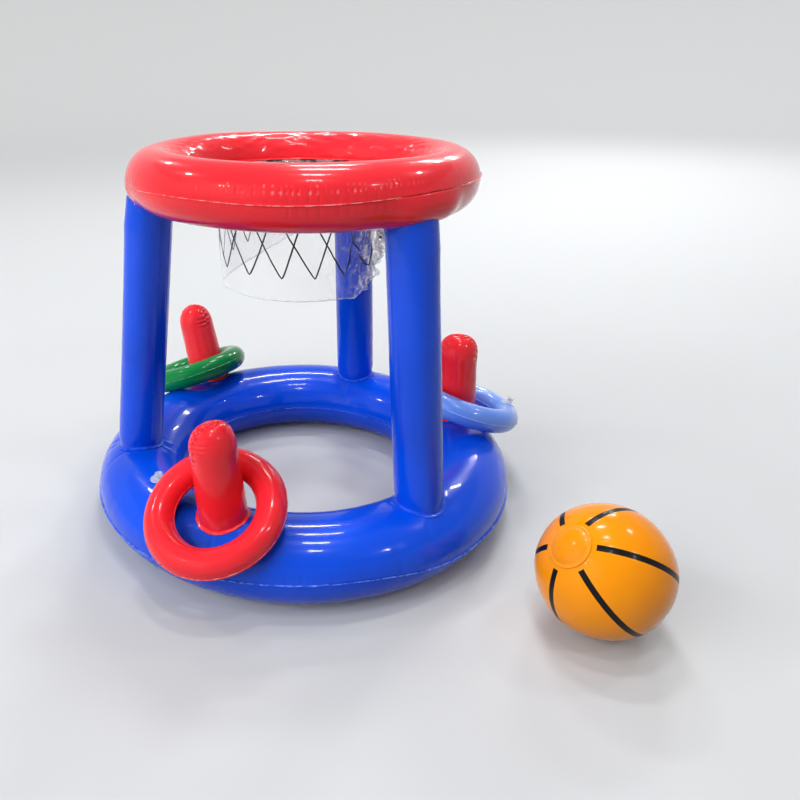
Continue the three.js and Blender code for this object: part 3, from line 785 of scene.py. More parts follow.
def net_grid(columns=540, rows=72):
    """Clear film from its weld under the hoop ring down to the hem. Each height has its own radius along
    the flat cut's length. Where the film is crumpled, upright folds wave its radius, cross folds wave it
    along its length, and the hem is drawn up."""
    knots = np.linspace(0, NET_LENGTH, 400)
    down = np.linspace(0, NET_LENGTH, rows)
    radius, height = (
        np.interp(down, knots, eased(np.interp(knots, NET_ALONG, measure), 15, "edge"))[:, None]
        for measure in NET_SECTION.T
    )
    turns = (np.arange(columns) / columns)[None, :]
    azimuth = np.degrees(wrapped(TURN * turns - math.radians(25)))
    azimuth = np.where(azimuth > 0, azimuth / 2.9, azimuth)
    slack = hump(azimuth, -9, 52, 4) * (1 - 0.8 * smooth(azimuth, 8, 26))
    loose = slack * smooth(down, 0.02, 0.06)[:, None]
    lift = (0.052 + 0.0006 * np.clip(azimuth, 0, 40)) * hump(azimuth, -2, 38, 4)
    lift = lift - 0.006 * bell(turns, -165, 22)[0]
    fall = (down / NET_LENGTH)[:, None]
    phase = TURN * turns
    upright = np.sin(31 * phase + 5 * np.sin(3 * fall * math.pi) + 1.2)
    upright = upright + 0.6 * np.sin(53 * phase - 7 * fall + 2)
    cross = np.sin(TURN * (3.1 * fall + 2.4 * np.sin(4 * phase + 1)) + 9 * phase)
    folds = loose * (0.0030 * upright * (0.5 + 0.8 * fall) + 0.0042 * cross * fall)
    gentle = 0.0007 * np.sin(5 * phase + 3 * fall) + 0.0005 * np.sin(11 * phase - 4 * fall)
    gentle = gentle * smooth(down, 0.02, 0.06)[:, None]
    inward = loose * 0.006 * np.sin(math.pi * fall)
    side = loose * 0.0022 * np.cos(22 * phase + 6 * fall) * fall
    up = lift * fall**1.3 + loose * 0.0022 * np.sin(17 * phase + 9 * fall) * fall
    points = polar(radius + folds + gentle - inward, phase + side / radius, height + up)
    edge = (hump(down, NET_LENGTH, 0.0016) + 0.6 * (down < 0.007))[:, None]
    # Along the fold ridges the film is whitened: painted glints where the creases would catch the lamps.
    glint_ridge = loose * (hump(upright, 0, 0.22) + 0.7 * hump(cross, 0, 0.25))
    v = np.append(down, NET_LENGTH) / NET_LENGTH
    return grid(AXIS.out(points), v=v, weld=np.clip(edge + 0.9 * glint_ridge, 0, 1), flip=True)


# Ball


def ball_grid(columns=192, rows=110):
    """A ball of six film gores: the radius dips a little along each seam and small gathers ring both caps.
    Where it rests it is pressed flat."""
    tilt = (np.arange(1, rows) / rows * math.pi)[:, None]
    turns = (np.arange(columns) / columns)[None, :]
    seam, girth = to_whole(turns * GORES + SEAM_SHIFT), np.sin(tilt)
    groove = -0.35 * MM * hump(seam * TURN / GORES * girth * BALL_RADIUS, 0, 0.0022)
    pillow = -0.45 * MM * smooth(0.5 - seam, 0.5, 0) * girth**2
    rim = math.asin(CAP_RADIUS / BALL_RADIUS)
    from_pole = np.minimum(tilt, math.pi - tilt)
    from_cap = np.abs(from_pole - rim) * BALL_RADIUS
    gathered = puckers(turns, 26, 31, near(from_cap, 0.004) * smooth(from_pole, rim, rim + 0.02), 0.6)
    radius = BALL_RADIUS - BALL_FILM_IN + groove + gathered + pillow
    points = BALL.out(radius[..., None] * polar(girth, TURN * turns, np.cos(tilt)))
    points[..., 2] = np.maximum(points[..., 2], 0.0)
    first, last = (BALL.out([0, 0, end * (BALL_RADIUS - BALL_FILM_IN)]) for end in (1, -1))
    return grid(points, first=first, last=last, v=np.append(tilt[:, 0], math.pi) / math.pi, flip=True)


CAP_INNER = BALL_RADIUS + SEAT_GAP
CAP_RIM_ANGLE = math.asin(CAP_RADIUS / CAP_INNER)
CAP_RIM_HEIGHT = CAP_INNER * math.cos(CAP_RIM_ANGLE) + CAP_FILM
CAP_CURVE_CENTRE = CAP_RIM_HEIGHT - math.sqrt(CAP_CURVE**2 - CAP_RADIUS**2)


def cap_grid(end, seed, columns=96):
    """A round patch welded over the gore tips: a flat weld rim, then a dome that bulges from it, hollow
    below."""
    turns = np.arange(columns) / columns
    rows = [(r, math.sqrt(CAP_INNER**2 - r**2), 0.0) for r in np.linspace(0.15, 1, 8) * CAP_RADIUS]
    # The weld rim is paler: partly weld whitening, partly painted highlight dashes from the film's material.
    rows.append((CAP_RADIUS, rows[-1][1] + CAP_FILM * 0.6, 0.4))
    under = len(rows)
    flat = np.linspace(CAP_RADIUS - 0.0004, CAP_RADIUS - 0.0034, 5)
    rows += [(r, math.sqrt(CAP_INNER**2 - r**2) + CAP_FILM, 0.4) for r in flat]
    reach, start, _ = rows[-1]
    peak = CAP_CURVE_CENTRE + CAP_CURVE
    dome = np.linspace(1, 0, 26)[1:-1]
    rows += [(reach * share, start + (peak - start) * (1 - share**2.3) ** 0.9, 0.0) for share in dome]
    radius, height, pale = np.array(rows).T[..., None]
    lift = puckers(turns, 22, seed, hump(radius, CAP_RADIUS - 0.0045, 0.0018), 0.5)
    lift[:under] = 0
    points = BALL.out(polar(radius, TURN * turns, (height + lift) * end))
    first, last = BALL.out([0, 0, CAP_INNER * end]), BALL.out([0, 0, peak * end])
    return grid(points, first=first, last=last, weld=pale, flip=end < 0)


# Valves


def valve_place(point, normal, strap):
    """Z points out of the film and X away from the strap."""
    strap = unit(strap - normal * np.dot(strap, normal))
    return Place(point, -strap, np.cross(normal, -strap), normal)


def on_tube(tube, azimuth, section):
    """A point on a ring tube and the film's normal there."""
    out, angle = direction(azimuth), math.radians(section)
    point = out * (tube.centre_radius + tube.half_width * math.cos(angle))
    point = point + (0, 0, tube.centre_height + tube.half_height * math.sin(angle))
    normal = out * (math.cos(angle) / tube.half_width) + (0, 0, math.sin(angle) / tube.half_height)
    return valve_place(point, unit(normal), direction(azimuth + 90))


def carried(outer, inner):
    """A place inside another place."""
    return Place(outer.out(inner.origin), *outer.turn(inner.axes))


def valve_sites():
    """Every valve: its place, the place and the tube of the film it sits on (no tube means the ball's lower
    cap), the body it rides on and its stopper's body."""
    sites = {
        "base_valve": (carried(AXIS, on_tube(BASE, 239, 92)), AXIS, BASE, "float", "base_stopper"),
        "hoop_valve": (carried(AXIS, on_tube(HOOP, 113, 42)), AXIS, HOOP, "float", "hoop_stopper"),
    }
    for name, ring in TOSS_RINGS.items():
        home = toss_place(name)
        azimuth = PEGS[ring.peg].azimuth + ring.valve_turn
        site = carried(home, on_tube(TOSS, azimuth, ring.valve_section))
        sites[f"{name}_valve"] = (site, home, TOSS, name, f"{name}_stopper")
    bottom = Place((0, 0, -CAP_CURVE_CENTRE - CAP_CURVE), (-1, 0, 0), (0, 1, 0), (0, 0, -1))
    sites["ball_valve"] = (carried(BALL, bottom), BALL, None, "ball", "ball_stopper")
    return sites


def cap_level(points, growth=0.0):
    """Below zero inside the ball's lower cap: distance from the cap's own centre less its radius."""
    centre = np.array([0, 0, -CAP_CURVE_CENTRE])
    return np.linalg.norm(points - centre, axis=-1) - CAP_CURVE - growth


def film_height(site, home, tube, x, y, growth, reach=0.012):
    """How high the film lies under a point of the valve, along the valve's own Z, between minus and plus
    reach."""
    start = site.out(np.stack([x, y, np.full_like(x, reach)], -1))

    def level(points):
        """The level of the film, in the coordinates of its home."""
        local = home.back(points)
        return cap_level(local, growth) if tube is None else tube_level(tube, local, growth)

    return reach - meet(start, -site.axes[2], 2 * reach, level)


def rounded_block(place, low, high, power=6.0, columns=24, rows=12):
    """A block with rounded edges: a superellipsoid |x|^n + |y|^n + |z|^n = 1 stretched to the block's box."""
    low, high = np.asarray(low, float), np.asarray(high, float)
    tilt = (np.arange(1, rows) / rows * math.pi)[:, None]
    ball = polar(np.sin(tilt), np.arange(columns) / columns * TURN, np.cos(tilt))
    ball = ball / ((np.abs(ball) ** power).sum(-1, keepdims=True)) ** (1 / power)
    half, middle = (high - low) / 2, (high + low) / 2
    ends = [place.out(middle + (0, 0, s * half[2])) for s in (1, -1)]
    return grid(place.out(ball * half + middle), first=ends[0], last=ends[1], flip=True)


def valve_body_grids(site, home, tube, columns=48):
    """A flange that lies on its film, a stem that rises from it in a fillet, an open bore, and a lug."""
    phase = np.arange(columns) / columns * TURN
    flange = (
        (BORE_RADIUS, 0.02), (0.0062, 0.02), (0.0090, 0.02), (FLANGE_RADIUS - 0.0003, 0.02),
        (FLANGE_RADIUS, 0.3), (FLANGE_RADIUS, 0.6), (FLANGE_RADIUS - 0.0004, 0.95),
        (FLANGE_RADIUS - 0.0012, 1.0), (0.0092, 0.85), (0.0076, 0.85), (0.0062, 1.1),
    )
    rows = []
    for radius, share in flange:
        x, y = radius * np.cos(phase), radius * np.sin(phase)
        z = film_height(site, home, tube, x, y, SEAT_GAP) + share * FLANGE_THICKNESS
        rows.append(np.stack([x, y, z], -1))
    stem = (
        (0.0052, 0.0014), (STEM_RADIUS, 0.0026), (STEM_RADIUS, 0.0048), (STEM_RADIUS + 0.0002, 0.0052),
        (STEM_RADIUS + 0.0002, 0.0062), (STEM_RADIUS - 0.0001, STEM_HEIGHT - 0.0002),
        (STEM_RADIUS - 0.0004, STEM_HEIGHT), (BORE_RADIUS + 0.0004, STEM_HEIGHT),
        (BORE_RADIUS, STEM_HEIGHT - 0.0004), (BORE_RADIUS, 0.0035),
    )
    rows += [polar(radius, phase, z) for radius, z in stem]
    body = grid(site.out(np.array(rows)), along=True)
    top, side = STEM_HEIGHT - 0.0003, STRAP_WIDTH / 2
    reach = HINGE_REACH - HINGE_RADIUS - SEAT_GAP
    lug = rounded_block(site, (-reach, -side, top - 0.0022), (-STEM_RADIUS + 0.0006, side, top))
    return [body, lug]


def stopper_grids(site, columns=48):
    """A tapered plug with a bead, a domed cap with a rounded rim, a strap and the rounded root it turns
    on."""
    phase = np.arange(columns) / columns * TURN
    under = STEM_HEIGHT + SEAT_GAP
    top = under + STOPPER_THICKNESS
    outline = np.array([
        (PLUG_TIP_RADIUS * 0.7, under - PLUG_LENGTH), (PLUG_TIP_RADIUS, under - PLUG_LENGTH + 0.0003),
        (PLUG_RADIUS - 0.0005, under - 0.0020), (PLUG_RADIUS, under - 0.0014), (PLUG_RADIUS, under - 0.0010),
        (PLUG_RADIUS - 0.0002, under - 0.0006), (PLUG_RADIUS - 0.0002, under),
        (STOPPER_RADIUS - 0.0002, under), (STOPPER_RADIUS, under + 0.0002),
        (STOPPER_RADIUS, under + STRAP_THICKNESS),
        (STOPPER_RADIUS - 0.0002, under + STRAP_THICKNESS + 0.0003),
        (STOPPER_RADIUS - 0.0007, top), (STOPPER_RADIUS - 0.0014, top),
        (STOPPER_RADIUS - 0.0018, top - 0.0003), (STOPPER_RADIUS * 0.3, top - 0.0003),
    ])
    first, last = (site.out((0, 0, outline[row, 1])) for row in (0, -1))
    cap = grid(site.out(polar(outline[:, :1], phase, outline[:, 1:])), first=first, last=last)
    middle = under + STRAP_THICKNESS / 2
    along = np.linspace(-STOPPER_RADIUS * 0.6, -HINGE_REACH - HINGE_RADIUS * 0.7, 14)
    half = np.interp(along, [along[-1], -HINGE_REACH, -STOPPER_RADIUS, along[0]], [1.3, 1.6, 1.25, 1.6]) * MM
    lift = np.interp(along, [along[-1], -HINGE_REACH, -STOPPER_RADIUS - 0.001], [0.35, 0.25, 0]) * MM
    ring = np.arange(16) / 16 * TURN
    corner = (np.abs(np.cos(ring)) ** 4 + np.abs(np.sin(ring)) ** 4) ** 0.25
    y = half[:, None] * np.cos(ring) / corner
    z = middle + lift[:, None] + STRAP_THICKNESS * 0.48 * np.sin(ring) / corner
    strap = np.stack([along[:, None] + 0 * y, y, z], -1)
    first, last = (site.out((along[row], 0, middle + lift[row])) for row in (0, -1))
    band = grid(site.out(strap), first=first, last=last, flip=True)
    low, high = (np.array([-HINGE_REACH, 0, middle]) + s * np.array(ROOT_HALF) for s in (-1, 1))
    return [cap, band, rounded_block(site, low, high, power=3.0)]


# Materials


class Signal:
    """One value in a material's nodes. Sums and products of it add Math nodes."""

    def __init__(self, tree, socket):
        self.tree, self.socket = tree, socket

    def math(self, operation, *others, clamp=False):
        node = self.tree.nodes.new("ShaderNodeMath")
        node.operation, node.use_clamp = operation, clamp
        for socket, operand in zip(node.inputs, (self, *others)):
            if isinstance(operand, Signal):
                self.tree.links.new(operand.socket, socket)
            else:
                socket.default_value = operand
        return Signal(self.tree, node.outputs[0])

    def __add__(self, other):
        return self.math("ADD", other)

    __radd__ = __add__

    def __sub__(self, other):
        return self.math("SUBTRACT", other)

    def __rsub__(self, other):
        return self.math("MULTIPLY_ADD", -1.0, other)

    def __mul__(self, other):
        return self.math("MULTIPLY", other)

    __rmul__ = __mul__

    def __truediv__(self, other):
        return self.math("DIVIDE", other)

    def __pow__(self, other):
        return self.math("POWER", other)

    def between(self, low, high):
        """0 at low and below, 1 at high and above."""
        return (self - low).math("DIVIDE", high - low, clamp=True)

    def to_whole(self):
        """The distance to the nearest whole number."""
        part = (self + 0.5).math("FRACT")
        return (part - 0.5).math("ABSOLUTE")

    def least(self, other):
        """The smaller of two."""
        return self.math("MINIMUM", other)

    def most(self, other):
        """The larger of two."""
        return self.math("MAXIMUM", other)


class Finish:
    """One material: node makes any node, and done links what varies and sets what doesn't."""

    def __init__(self, name):
        self.material = bpy.data.materials.new(name)
        self.material.use_nodes = True
        self.tree = self.material.node_tree
        self.tree.nodes.clear()

    def node(self, kind, settings=None, inputs=None, output=0):
        made = self.tree.nodes.new(kind)
        for key, value in (settings or {}).items():
            setattr(made, key, value)
        for key, value in (inputs or {}).items():
            if isinstance(value, Signal):
                self.tree.links.new(value.socket, made.inputs[key])
            else:
                made.inputs[key].default_value = value
        return Signal(self.tree, made.outputs[output]) if made.outputs else made

    def place(self):
        """The shaded point in the object's coordinates."""
        return self.node("ShaderNodeTexCoord", output="Object")

    def uv(self):
        """How far round and how far down the film the point lies, each from 0 to 1."""
        film = self.node("ShaderNodeUVMap", {"uv_map": "film"})
        split = self.node("ShaderNodeSeparateXYZ", inputs={"Vector": film})
        return split, Signal(self.tree, split.socket.node.outputs[1])

    def weld(self):
        """How pale the film is at the point: at welds, and where highlights and glints are painted."""
        return self.node("ShaderNodeAttribute", {"attribute_name": "weld"}, output="Fac")

    def noise(self, scale, detail=2.0, rough=0.5, stretch=(1, 1, 1)):
        spot = self.node("ShaderNodeMapping", inputs={"Vector": self.place(), "Scale": stretch})
        inputs = {"Vector": spot, "Scale": scale, "Detail": detail, "Roughness": rough}
        return self.node("ShaderNodeTexNoise", inputs=inputs, output="Fac")

    def mix(self, factor, one, other):
        return self.node("ShaderNodeMix", {"data_type": "RGBA"}, {0: factor, 6: one, 7: other}, output=2)

    def bump(self, height, distance, strength=1.0):
        inputs = {"Height": height, "Distance": distance, "Strength": strength}
        return self.node("ShaderNodeBump", inputs=inputs)

    def done(self, varying, constants):
        shader = self.node("ShaderNodeBsdfPrincipled", inputs={**constants, **varying})
        self.node("ShaderNodeOutputMaterial", inputs={"Surface": shader})
        return self.material


def rgba(colour, share=1.0):
    """A colour times a share, each channel at most 1, with full alpha."""
    return tuple(min(1.0, c * share) for c in colour[:3]) + (1.0,)


def film_finish(name, colour, pale, coat=0.55, rough=0.20, sheen=0.14):
    """Glossy calendered film: cloudy thickness, a fine orange-peel, drawn lines, and welds that are paler and
    duller than the rest, partly from the weld's own whitening and partly from painted highlights in short
    dashes along them. The sheen is the wide part of its gloss and the coat the crisp part."""
    f = Finish(name)
    cloud, peel = f.noise(7.0, 3.0), f.noise(420.0, 2.0)
    drawn = f.noise(60.0, 2.0, stretch=(1.0, 1.0, 0.12))
    weld = f.weld()
    stamped = f.noise(900.0, 1.0)
    highlight_dashes = f.noise(150.0, 1.0).between(0.44, 0.60)
    deep = f.mix(cloud.between(0.35, 0.65), rgba(colour, 0.88), rgba(colour, 1.06))
    # Paler colour where the weld input is high: a little even whitening and the weld's stamped texture, but
    # mostly painted highlight dashes; on the hoop the same input also carries painted highlight dots.
    weld_whitening_and_highlight = (weld * (0.06 + 0.7 * highlight_dashes + 0.1 * stamped)).between(0.0, 1.0)
    base = f.mix(weld_whitening_and_highlight, deep, rgba(pale))
    roughness = rough + 0.05 * cloud + 0.035 * drawn + 0.14 * weld * stamped
    height = peel * 0.35 + drawn * 0.65 + weld * stamped * 0.8
    varying = {"Base Color": base, "Roughness": roughness, "Normal": f.bump(height, 0.00012, 0.55)}
    gloss = {"Specular IOR Level": sheen, "Coat Weight": coat, "Coat Roughness": 0.05, "Coat IOR": COAT_IOR}
    return f.done(varying, {"IOR": FILM_IOR, **gloss})


def ball_finish(name, colour, print_colour):
    """The ball's orange film with six black printed stripes between its two caps, soft at their edges."""
    f = Finish(name)
    u, v = f.uv()
    cloud, peel = f.noise(9.0, 3.0), f.noise(420.0, 2.0)
    edge = f.noise(260.0, 2.0)
    tilt = v * math.pi
    girth = tilt.math("SINE")
    across = (u * GORES + SEAM_SHIFT).to_whole() * (TURN / GORES) * BALL_RADIUS * girth
    half = STRIPE_WIDTH / 2 + 0.0003 * (edge - 0.5)
    stripe = 1 - ((across - half) / 0.0003 + 0.5).between(0, 1)
    from_pole = tilt.least(math.pi - tilt)
    stripe = stripe * from_pole.between(0.395, 0.402)
    deep = f.mix(cloud.between(0.35, 0.65), rgba(colour, 0.93), rgba(colour, 1.04))
    base = f.mix(stripe, deep, rgba(print_colour))
    roughness = 0.15 + 0.05 * cloud + 0.14 * stripe
    height = peel * 0.4 + cloud * 0.2 + stripe * 0.5
    varying = {"Base Color": base, "Roughness": roughness, "Coat Weight": 0.34 - 0.22 * stripe}
    return f.done(
        {**varying, "Normal": f.bump(height, 0.0001, 0.5)},
        {"IOR": FILM_IOR, "Specular IOR Level": 0.12, "Coat Roughness": 0.09, "Coat IOR": COAT_IOR},
    )


def net_finish(name, line_width, print_colour):
    """Clear film with a black net printed on it: two families of slanted lines make eighteen diamonds
    round, which end in points above the hem. The diamonds crowd a little at the back left and lean at the
    front right, and the lines are wider near the weld, where their dark stands in partly for lines bunched
    in the folds and partly for painted shade of the hoop ring seen through the film. The film itself is
    nearly see-through, whiter at the weld and the hem, with painted glints in patches there and along its
    fold ridges."""
    f = Finish(name)
    u, v = f.uv()
    up = (1 - v) * NET_LENGTH - NET_HEM
    soft = 0.0035
    lifted = up.most(0.0)
    bend = (lifted * (lifted + 2 * soft)) ** 0.5
    rise = bend / DIAMOND_RISE
    wobble = (f.noise(55.0, 1.0) - 0.5) * 0.02
    apart = (u - 0.611) / 0.1056
    crowd = (apart * apart * -1.0).math("EXPONENT") * 0.55
    lean = lifted * (u.between(0.70, 0.79) - u.between(0.93, 1.0)) * 3.4
    turns = u * NET_DIAMONDS + wobble + crowd + lean
    near_line = (turns - rise).to_whole().least((turns + rise).to_whole())
    distance = near_line * DIAMOND_WIDTH
    # The lines widen near the weld: partly bunched print in the folds, partly painted shade of the hoop ring
    # behind the film.
    half = line_width / 2 * (1 + 3.2 * up.between(0.107, 0.114))
    line = 1 - ((distance - half) / 0.00035 + 0.5).between(0, 1)
    line = line * up.between(-0.0012, -0.0008)
    ragged = f.noise(700.0, 2.0)
    line = (line * (0.9 + 0.35 * ragged)).between(0.0, 1.0)
    weld = f.weld()
    haze = f.noise(40.0, 3.0)
    glint_patches = f.noise(110.0, 2.0).between(0.46, 0.58)
    # Whiter film where the weld input is high: at the weld and the hem, with painted glints along the fold
    # ridges and in patches.
    alpha = (0.05 + 0.06 * haze + weld * (0.35 + 0.5 * glint_patches)).most(line)
    base = f.mix(line, (0.93, 0.97, 1.0, 1.0), rgba(print_colour))
    roughness = 0.05 + 0.06 * haze + 0.4 * line
    height = f.noise(120.0, 3.0) * 0.7 + haze * 0.3
    varying = {"Base Color": base, "Roughness": roughness, "Alpha": alpha, "Coat Weight": 1 - 0.85 * line}
    return f.done(
        {**varying, "Normal": f.bump(height, 0.0004, 0.6)},
        {"IOR": FILM_IOR, "Specular IOR Level": 0.3, "Coat Roughness": 0.03},
    )


def valve_finish(name, colour):
    """Soft clear moulded valve: see-through, cloudier where it is thick, with a slight flow mark."""
    f = Finish(name)
    cloud, fine = f.noise(260.0, 2.0), f.noise(1500.0, 2.0)
    base = f.mix(cloud, rgba(colour, 0.92), rgba(colour))
    varying = {"Base Color": base, "Roughness": 0.05 + 0.10 * cloud, "Alpha": 0.30 + 0.30 * cloud}
    return f.done(
        {**varying, "Normal": f.bump(fine, 0.00004, 0.4)},
        {"IOR": FILM_IOR, "Coat Weight": 1.0, "Coat Roughness": 0.03},
    )


def floor_finish(name, colour, glow):
    """Pale to the camera and in reflections, but it throws less light back up at the object. Away from the
    object, where the lamps don't reach, a glow keeps the picture's background even: g (1 -
    e^-(d/4.5)^1.6)."""
    f = Finish(name)
    cloud = f.noise(3.0, 3.0)
    seen = f.node("ShaderNodeLightPath", output="Is Camera Ray")
    mirrored = f.node("ShaderNodeLightPath", output="Is Glossy Ray")
    through = f.node("ShaderNodeLightPath", output="Is Transmission Ray")
    shown = seen.most(mirrored).most(through)
    pale = f.mix(cloud, rgba(colour, 0.99), rgba(colour))
    base = f.mix(shown, rgba(colour, 0.4), pale)
    away = f.node("ShaderNodeVectorMath", {"operation": "LENGTH"}, {0: f.place()}, output="Value") / 4.5
    share = (1 - (away**1.6 * -1.0).math("EXPONENT")) * shown * glow
    light = f.mix(share, (0, 0, 0, 1), (1, 1, 1, 1))
    return f.done(
        {"Base Color": base, "Roughness": 0.6 + 0.1 * cloud, "Emission Color": light},
        {"Specular IOR Level": 0.2, "Emission Strength": 1.0},
    )


# Settings

# What all colour settings share.
COLOUR = {"subtype": "COLOR", "size": 3, "min": 0, "max": 1}


class HoopSizes(bpy.types.PropertyGroup):
    """Sizes of the film's welds and prints that a user may change."""

    ring_weld: bpy.props.FloatProperty(
        name="Ring weld", description="Width of the flat weld round both big rings",
        default=0.0017, min=0.001, max=0.006, unit="LENGTH",
    )
    net_weld: bpy.props.FloatProperty(
        name="Net weld", description="Width of the weld inside the hoop ring that holds the net",
        default=0.007, min=0.003, max=0.010, unit="LENGTH",
    )
    weld_thickness: bpy.props.FloatProperty(
        name="Weld thickness", description="Thickness of the welded films",
        default=0.0011, min=0.0004, max=0.002, unit="LENGTH",
    )
    toss_weld: bpy.props.FloatProperty(
        name="Toss ring weld", description="How far the weld stands out of a toss ring's tube",
        default=0.0009, min=0.0003, max=0.002, unit="LENGTH",
    )
    net_line: bpy.props.FloatProperty(
        name="Net line", description="Width of the net's printed lines",
        default=0.0018, min=0.001, max=0.005, unit="LENGTH",
    )
    net_film: bpy.props.FloatProperty(
        name="Net film", description="Thickness of the clear film",
        default=0.0003, min=0.0001, max=0.0008, unit="LENGTH",
    )


class HoopColours(bpy.types.PropertyGroup):
    """Colours of the films and of the print."""

    blue: bpy.props.FloatVectorProperty(
        name="Blue film", description="Base ring and columns",
        default=(0.0, 0.075, 0.78), **COLOUR,
    )
    red: bpy.props.FloatVectorProperty(
        name="Red film", description="Hoop ring, pegs and one toss ring",
        default=(1.0, 0.022, 0.036), **COLOUR,
    )
    green: bpy.props.FloatVectorProperty(
        name="Green film", description="Toss ring",
        default=(0.0, 0.23, 0.052), **COLOUR,
    )
    pale_blue: bpy.props.FloatVectorProperty(
        name="Pale blue film", description="Toss ring",
        default=(0.12, 0.31, 1.0), **COLOUR,
    )
    orange: bpy.props.FloatVectorProperty(
        name="Orange film", description="Ball",
        default=(1.0, 0.31, 0.0), **COLOUR,
    )
    print: bpy.props.FloatVectorProperty(
        name="Print", description="The net's lines and the ball's stripes",
        default=(0.006, 0.006, 0.007), **COLOUR,
    )
    clear: bpy.props.FloatVectorProperty(
        name="Clear valve", description="Moulded valves",
        default=(0.86, 0.94, 1.0), **COLOUR,
    )


class HoopStage(bpy.types.PropertyGroup):
    """The studio: floor, lamps and surroundings."""

    floor: bpy.props.FloatVectorProperty(
        name="Floor", description="Colour of the floor and the backdrop",
        default=(0.60, 0.615, 0.63), **COLOUR,
    )
    glow: bpy.props.FloatProperty(
        name="Backdrop glow", description="Brightness that only the camera and reflections see far off",
        default=0.50, min=0, max=1,
    )
    lamp_power: bpy.props.FloatProperty(
        name="Strip power", description="Power of a strip lamp for each metre",
        default=22.0, min=0, unit="POWER",
    )
    fill_power: bpy.props.FloatProperty(
        name="Fill power", description="Power of the wide soft lamp at the front",
        default=100.0, min=0, unit="POWER",
    )
    sky: bpy.props.FloatProperty(
        name="Surroundings", description="Brightness of the surroundings overhead", default=0.40, min=0,
    )


def finishes():
    """All the materials, made once."""
    colours, sizes = bpy.context.scene.hoop_colours, bpy.context.scene.hoop_sizes
    if "film_blue" not in bpy.data.materials:
        # Each film's second colour is the pale of its welds, used both for their own whitening and for
        # painted highlights.
        film_finish("film_blue", colours.blue, (0.18, 0.34, 0.95))
        film_finish("film_red", colours.red, (1.0, 0.32, 0.30))
        film_finish("film_green", colours.green, (0.15, 0.62, 0.25))
        film_finish("film_pale_blue", colours.pale_blue, (0.40, 0.60, 1.0), coat=0.8, rough=0.30, sheen=0.8)
        film_finish("film_orange", colours.orange, (1.0, 0.40, 0.04), coat=0.5)
        ball_finish("film_ball", colours.orange, colours.print)
        net_finish("film_net", sizes.net_line, colours.print)
        valve_finish("moulded_clear", colours.clear)
    return bpy.data.materials


# Operators


class PieceOperator:
    bl_options = {"REGISTER", "UNDO"}

    def execute(self, context):
        self.build(context.scene.hoop_sizes, finishes())
        return {"FINISHED"}


class POOLHOOP_OT_base_ring(PieceOperator, bpy.types.Operator):
    """Build the base ring: one welded tube with puckers, foot creases and a flat foot."""

    bl_idname = "poolhoop.base_ring"
    bl_label = "Base Ring"

    def build(self, sizes, materials):
        part = ring_grid(
            AXIS, BASE, columns=900, upper=50, lower=28, fins=(sizes.ring_weld, sizes.ring_weld),
            fin_thickness=sizes.weld_thickness, bulge=base_bulge, waver=wavering(0.5, 70, 8), floor=0.0,
            roll=rolled(BASE_ROLL), dense=FRONT,
        )
        mesh_object("base_ring_film", [part], "float", "blue_film", ["base_ring"], materials["film_blue"])


class POOLHOOP_OT_hoop_ring(PieceOperator, bpy.types.Operator):
    """Build the hoop ring with its puckered outer weld and the wide inner weld that holds the net."""

    bl_idname = "poolhoop.hoop_ring"
    bl_label = "Hoop Ring"

    def build(self, sizes, materials):
        part = ring_grid(
            AXIS, HOOP, columns=960, upper=54, lower=34, fins=(sizes.ring_weld, sizes.net_weld),
            fin_thickness=sizes.weld_thickness, bulge=hoop_bulge, waver=wavering(0.35, 90, 20),
            roll=rolled(HOOP_ROLL), dense=FRONT, painted_highlights=hoop_dimple_highlights,
        )
        mesh_object("hoop_ring_film", [part], "float", "red_film", ["hoop_ring"], materials["film_red"])


class POOLHOOP_OT_columns(PieceOperator, bpy.types.Operator):
    """Build the three columns between the rings."""

    bl_idname = "poolhoop.columns"
    bl_label = "Columns"

    def build(self, sizes, materials):
        for seed, (name, azimuth) in enumerate(COLUMNS.items()):
            part = column_grid(azimuth, FLARES[name], 40 + 7 * seed)
            mesh_object(f"{name}_film", [part], "float", "blue_film", [name], materials["film_blue"])


class POOLHOOP_OT_pegs(PieceOperator, bpy.types.Operator):
    """Build the three pegs with the puckered weld over their tips."""

    bl_idname = "poolhoop.pegs"
    bl_label = "Pegs"

    def build(self, sizes, materials):
        for seed, (name, peg) in enumerate(PEGS.items()):
            part = peg_grid(peg, 70 + 9 * seed)
            mesh_object(f"{name}_film", [part], "float", "red_film", [name], materials["film_red"])


class POOLHOOP_OT_toss_rings(PieceOperator, bpy.types.Operator):
    """Build the three toss rings where they hang on their pegs."""

    bl_idname = "poolhoop.toss_rings"
    bl_label = "Toss Rings"

    def build(self, sizes, materials):
        for number, (name, ring) in enumerate(TOSS_RINGS.items()):
            seed = 100 + 10 * number
            part = ring_grid(
                toss_place(name), TOSS, columns=256, upper=34, lower=34,
                fins=(sizes.toss_weld, sizes.toss_weld), fin_thickness=TOSS_WELD_THICKNESS,
                bulge=toss_bulge(seed), waver=wavering(0.12, 40, seed + 4),
            )
            mesh_object(f"{name}_film", [part], name, ring.slot, [name], materials[ring.finish])


class POOLHOOP_OT_net(PieceOperator, bpy.types.Operator):
    """Build the clear skirt with its printed net, and crumple it on the right."""

    bl_idname = "poolhoop.net"
    bl_label = "Net Skirt"

    def build(self, sizes, materials):
        film = materials["film_net"]
        piece = mesh_object("net_skirt_film", [net_grid()], "float", "clear_film", ["net_skirt"], film)
        thick = piece.modifiers.new("Film thickness", "SOLIDIFY")
        thick.thickness = sizes.net_film
        thick.offset = 0


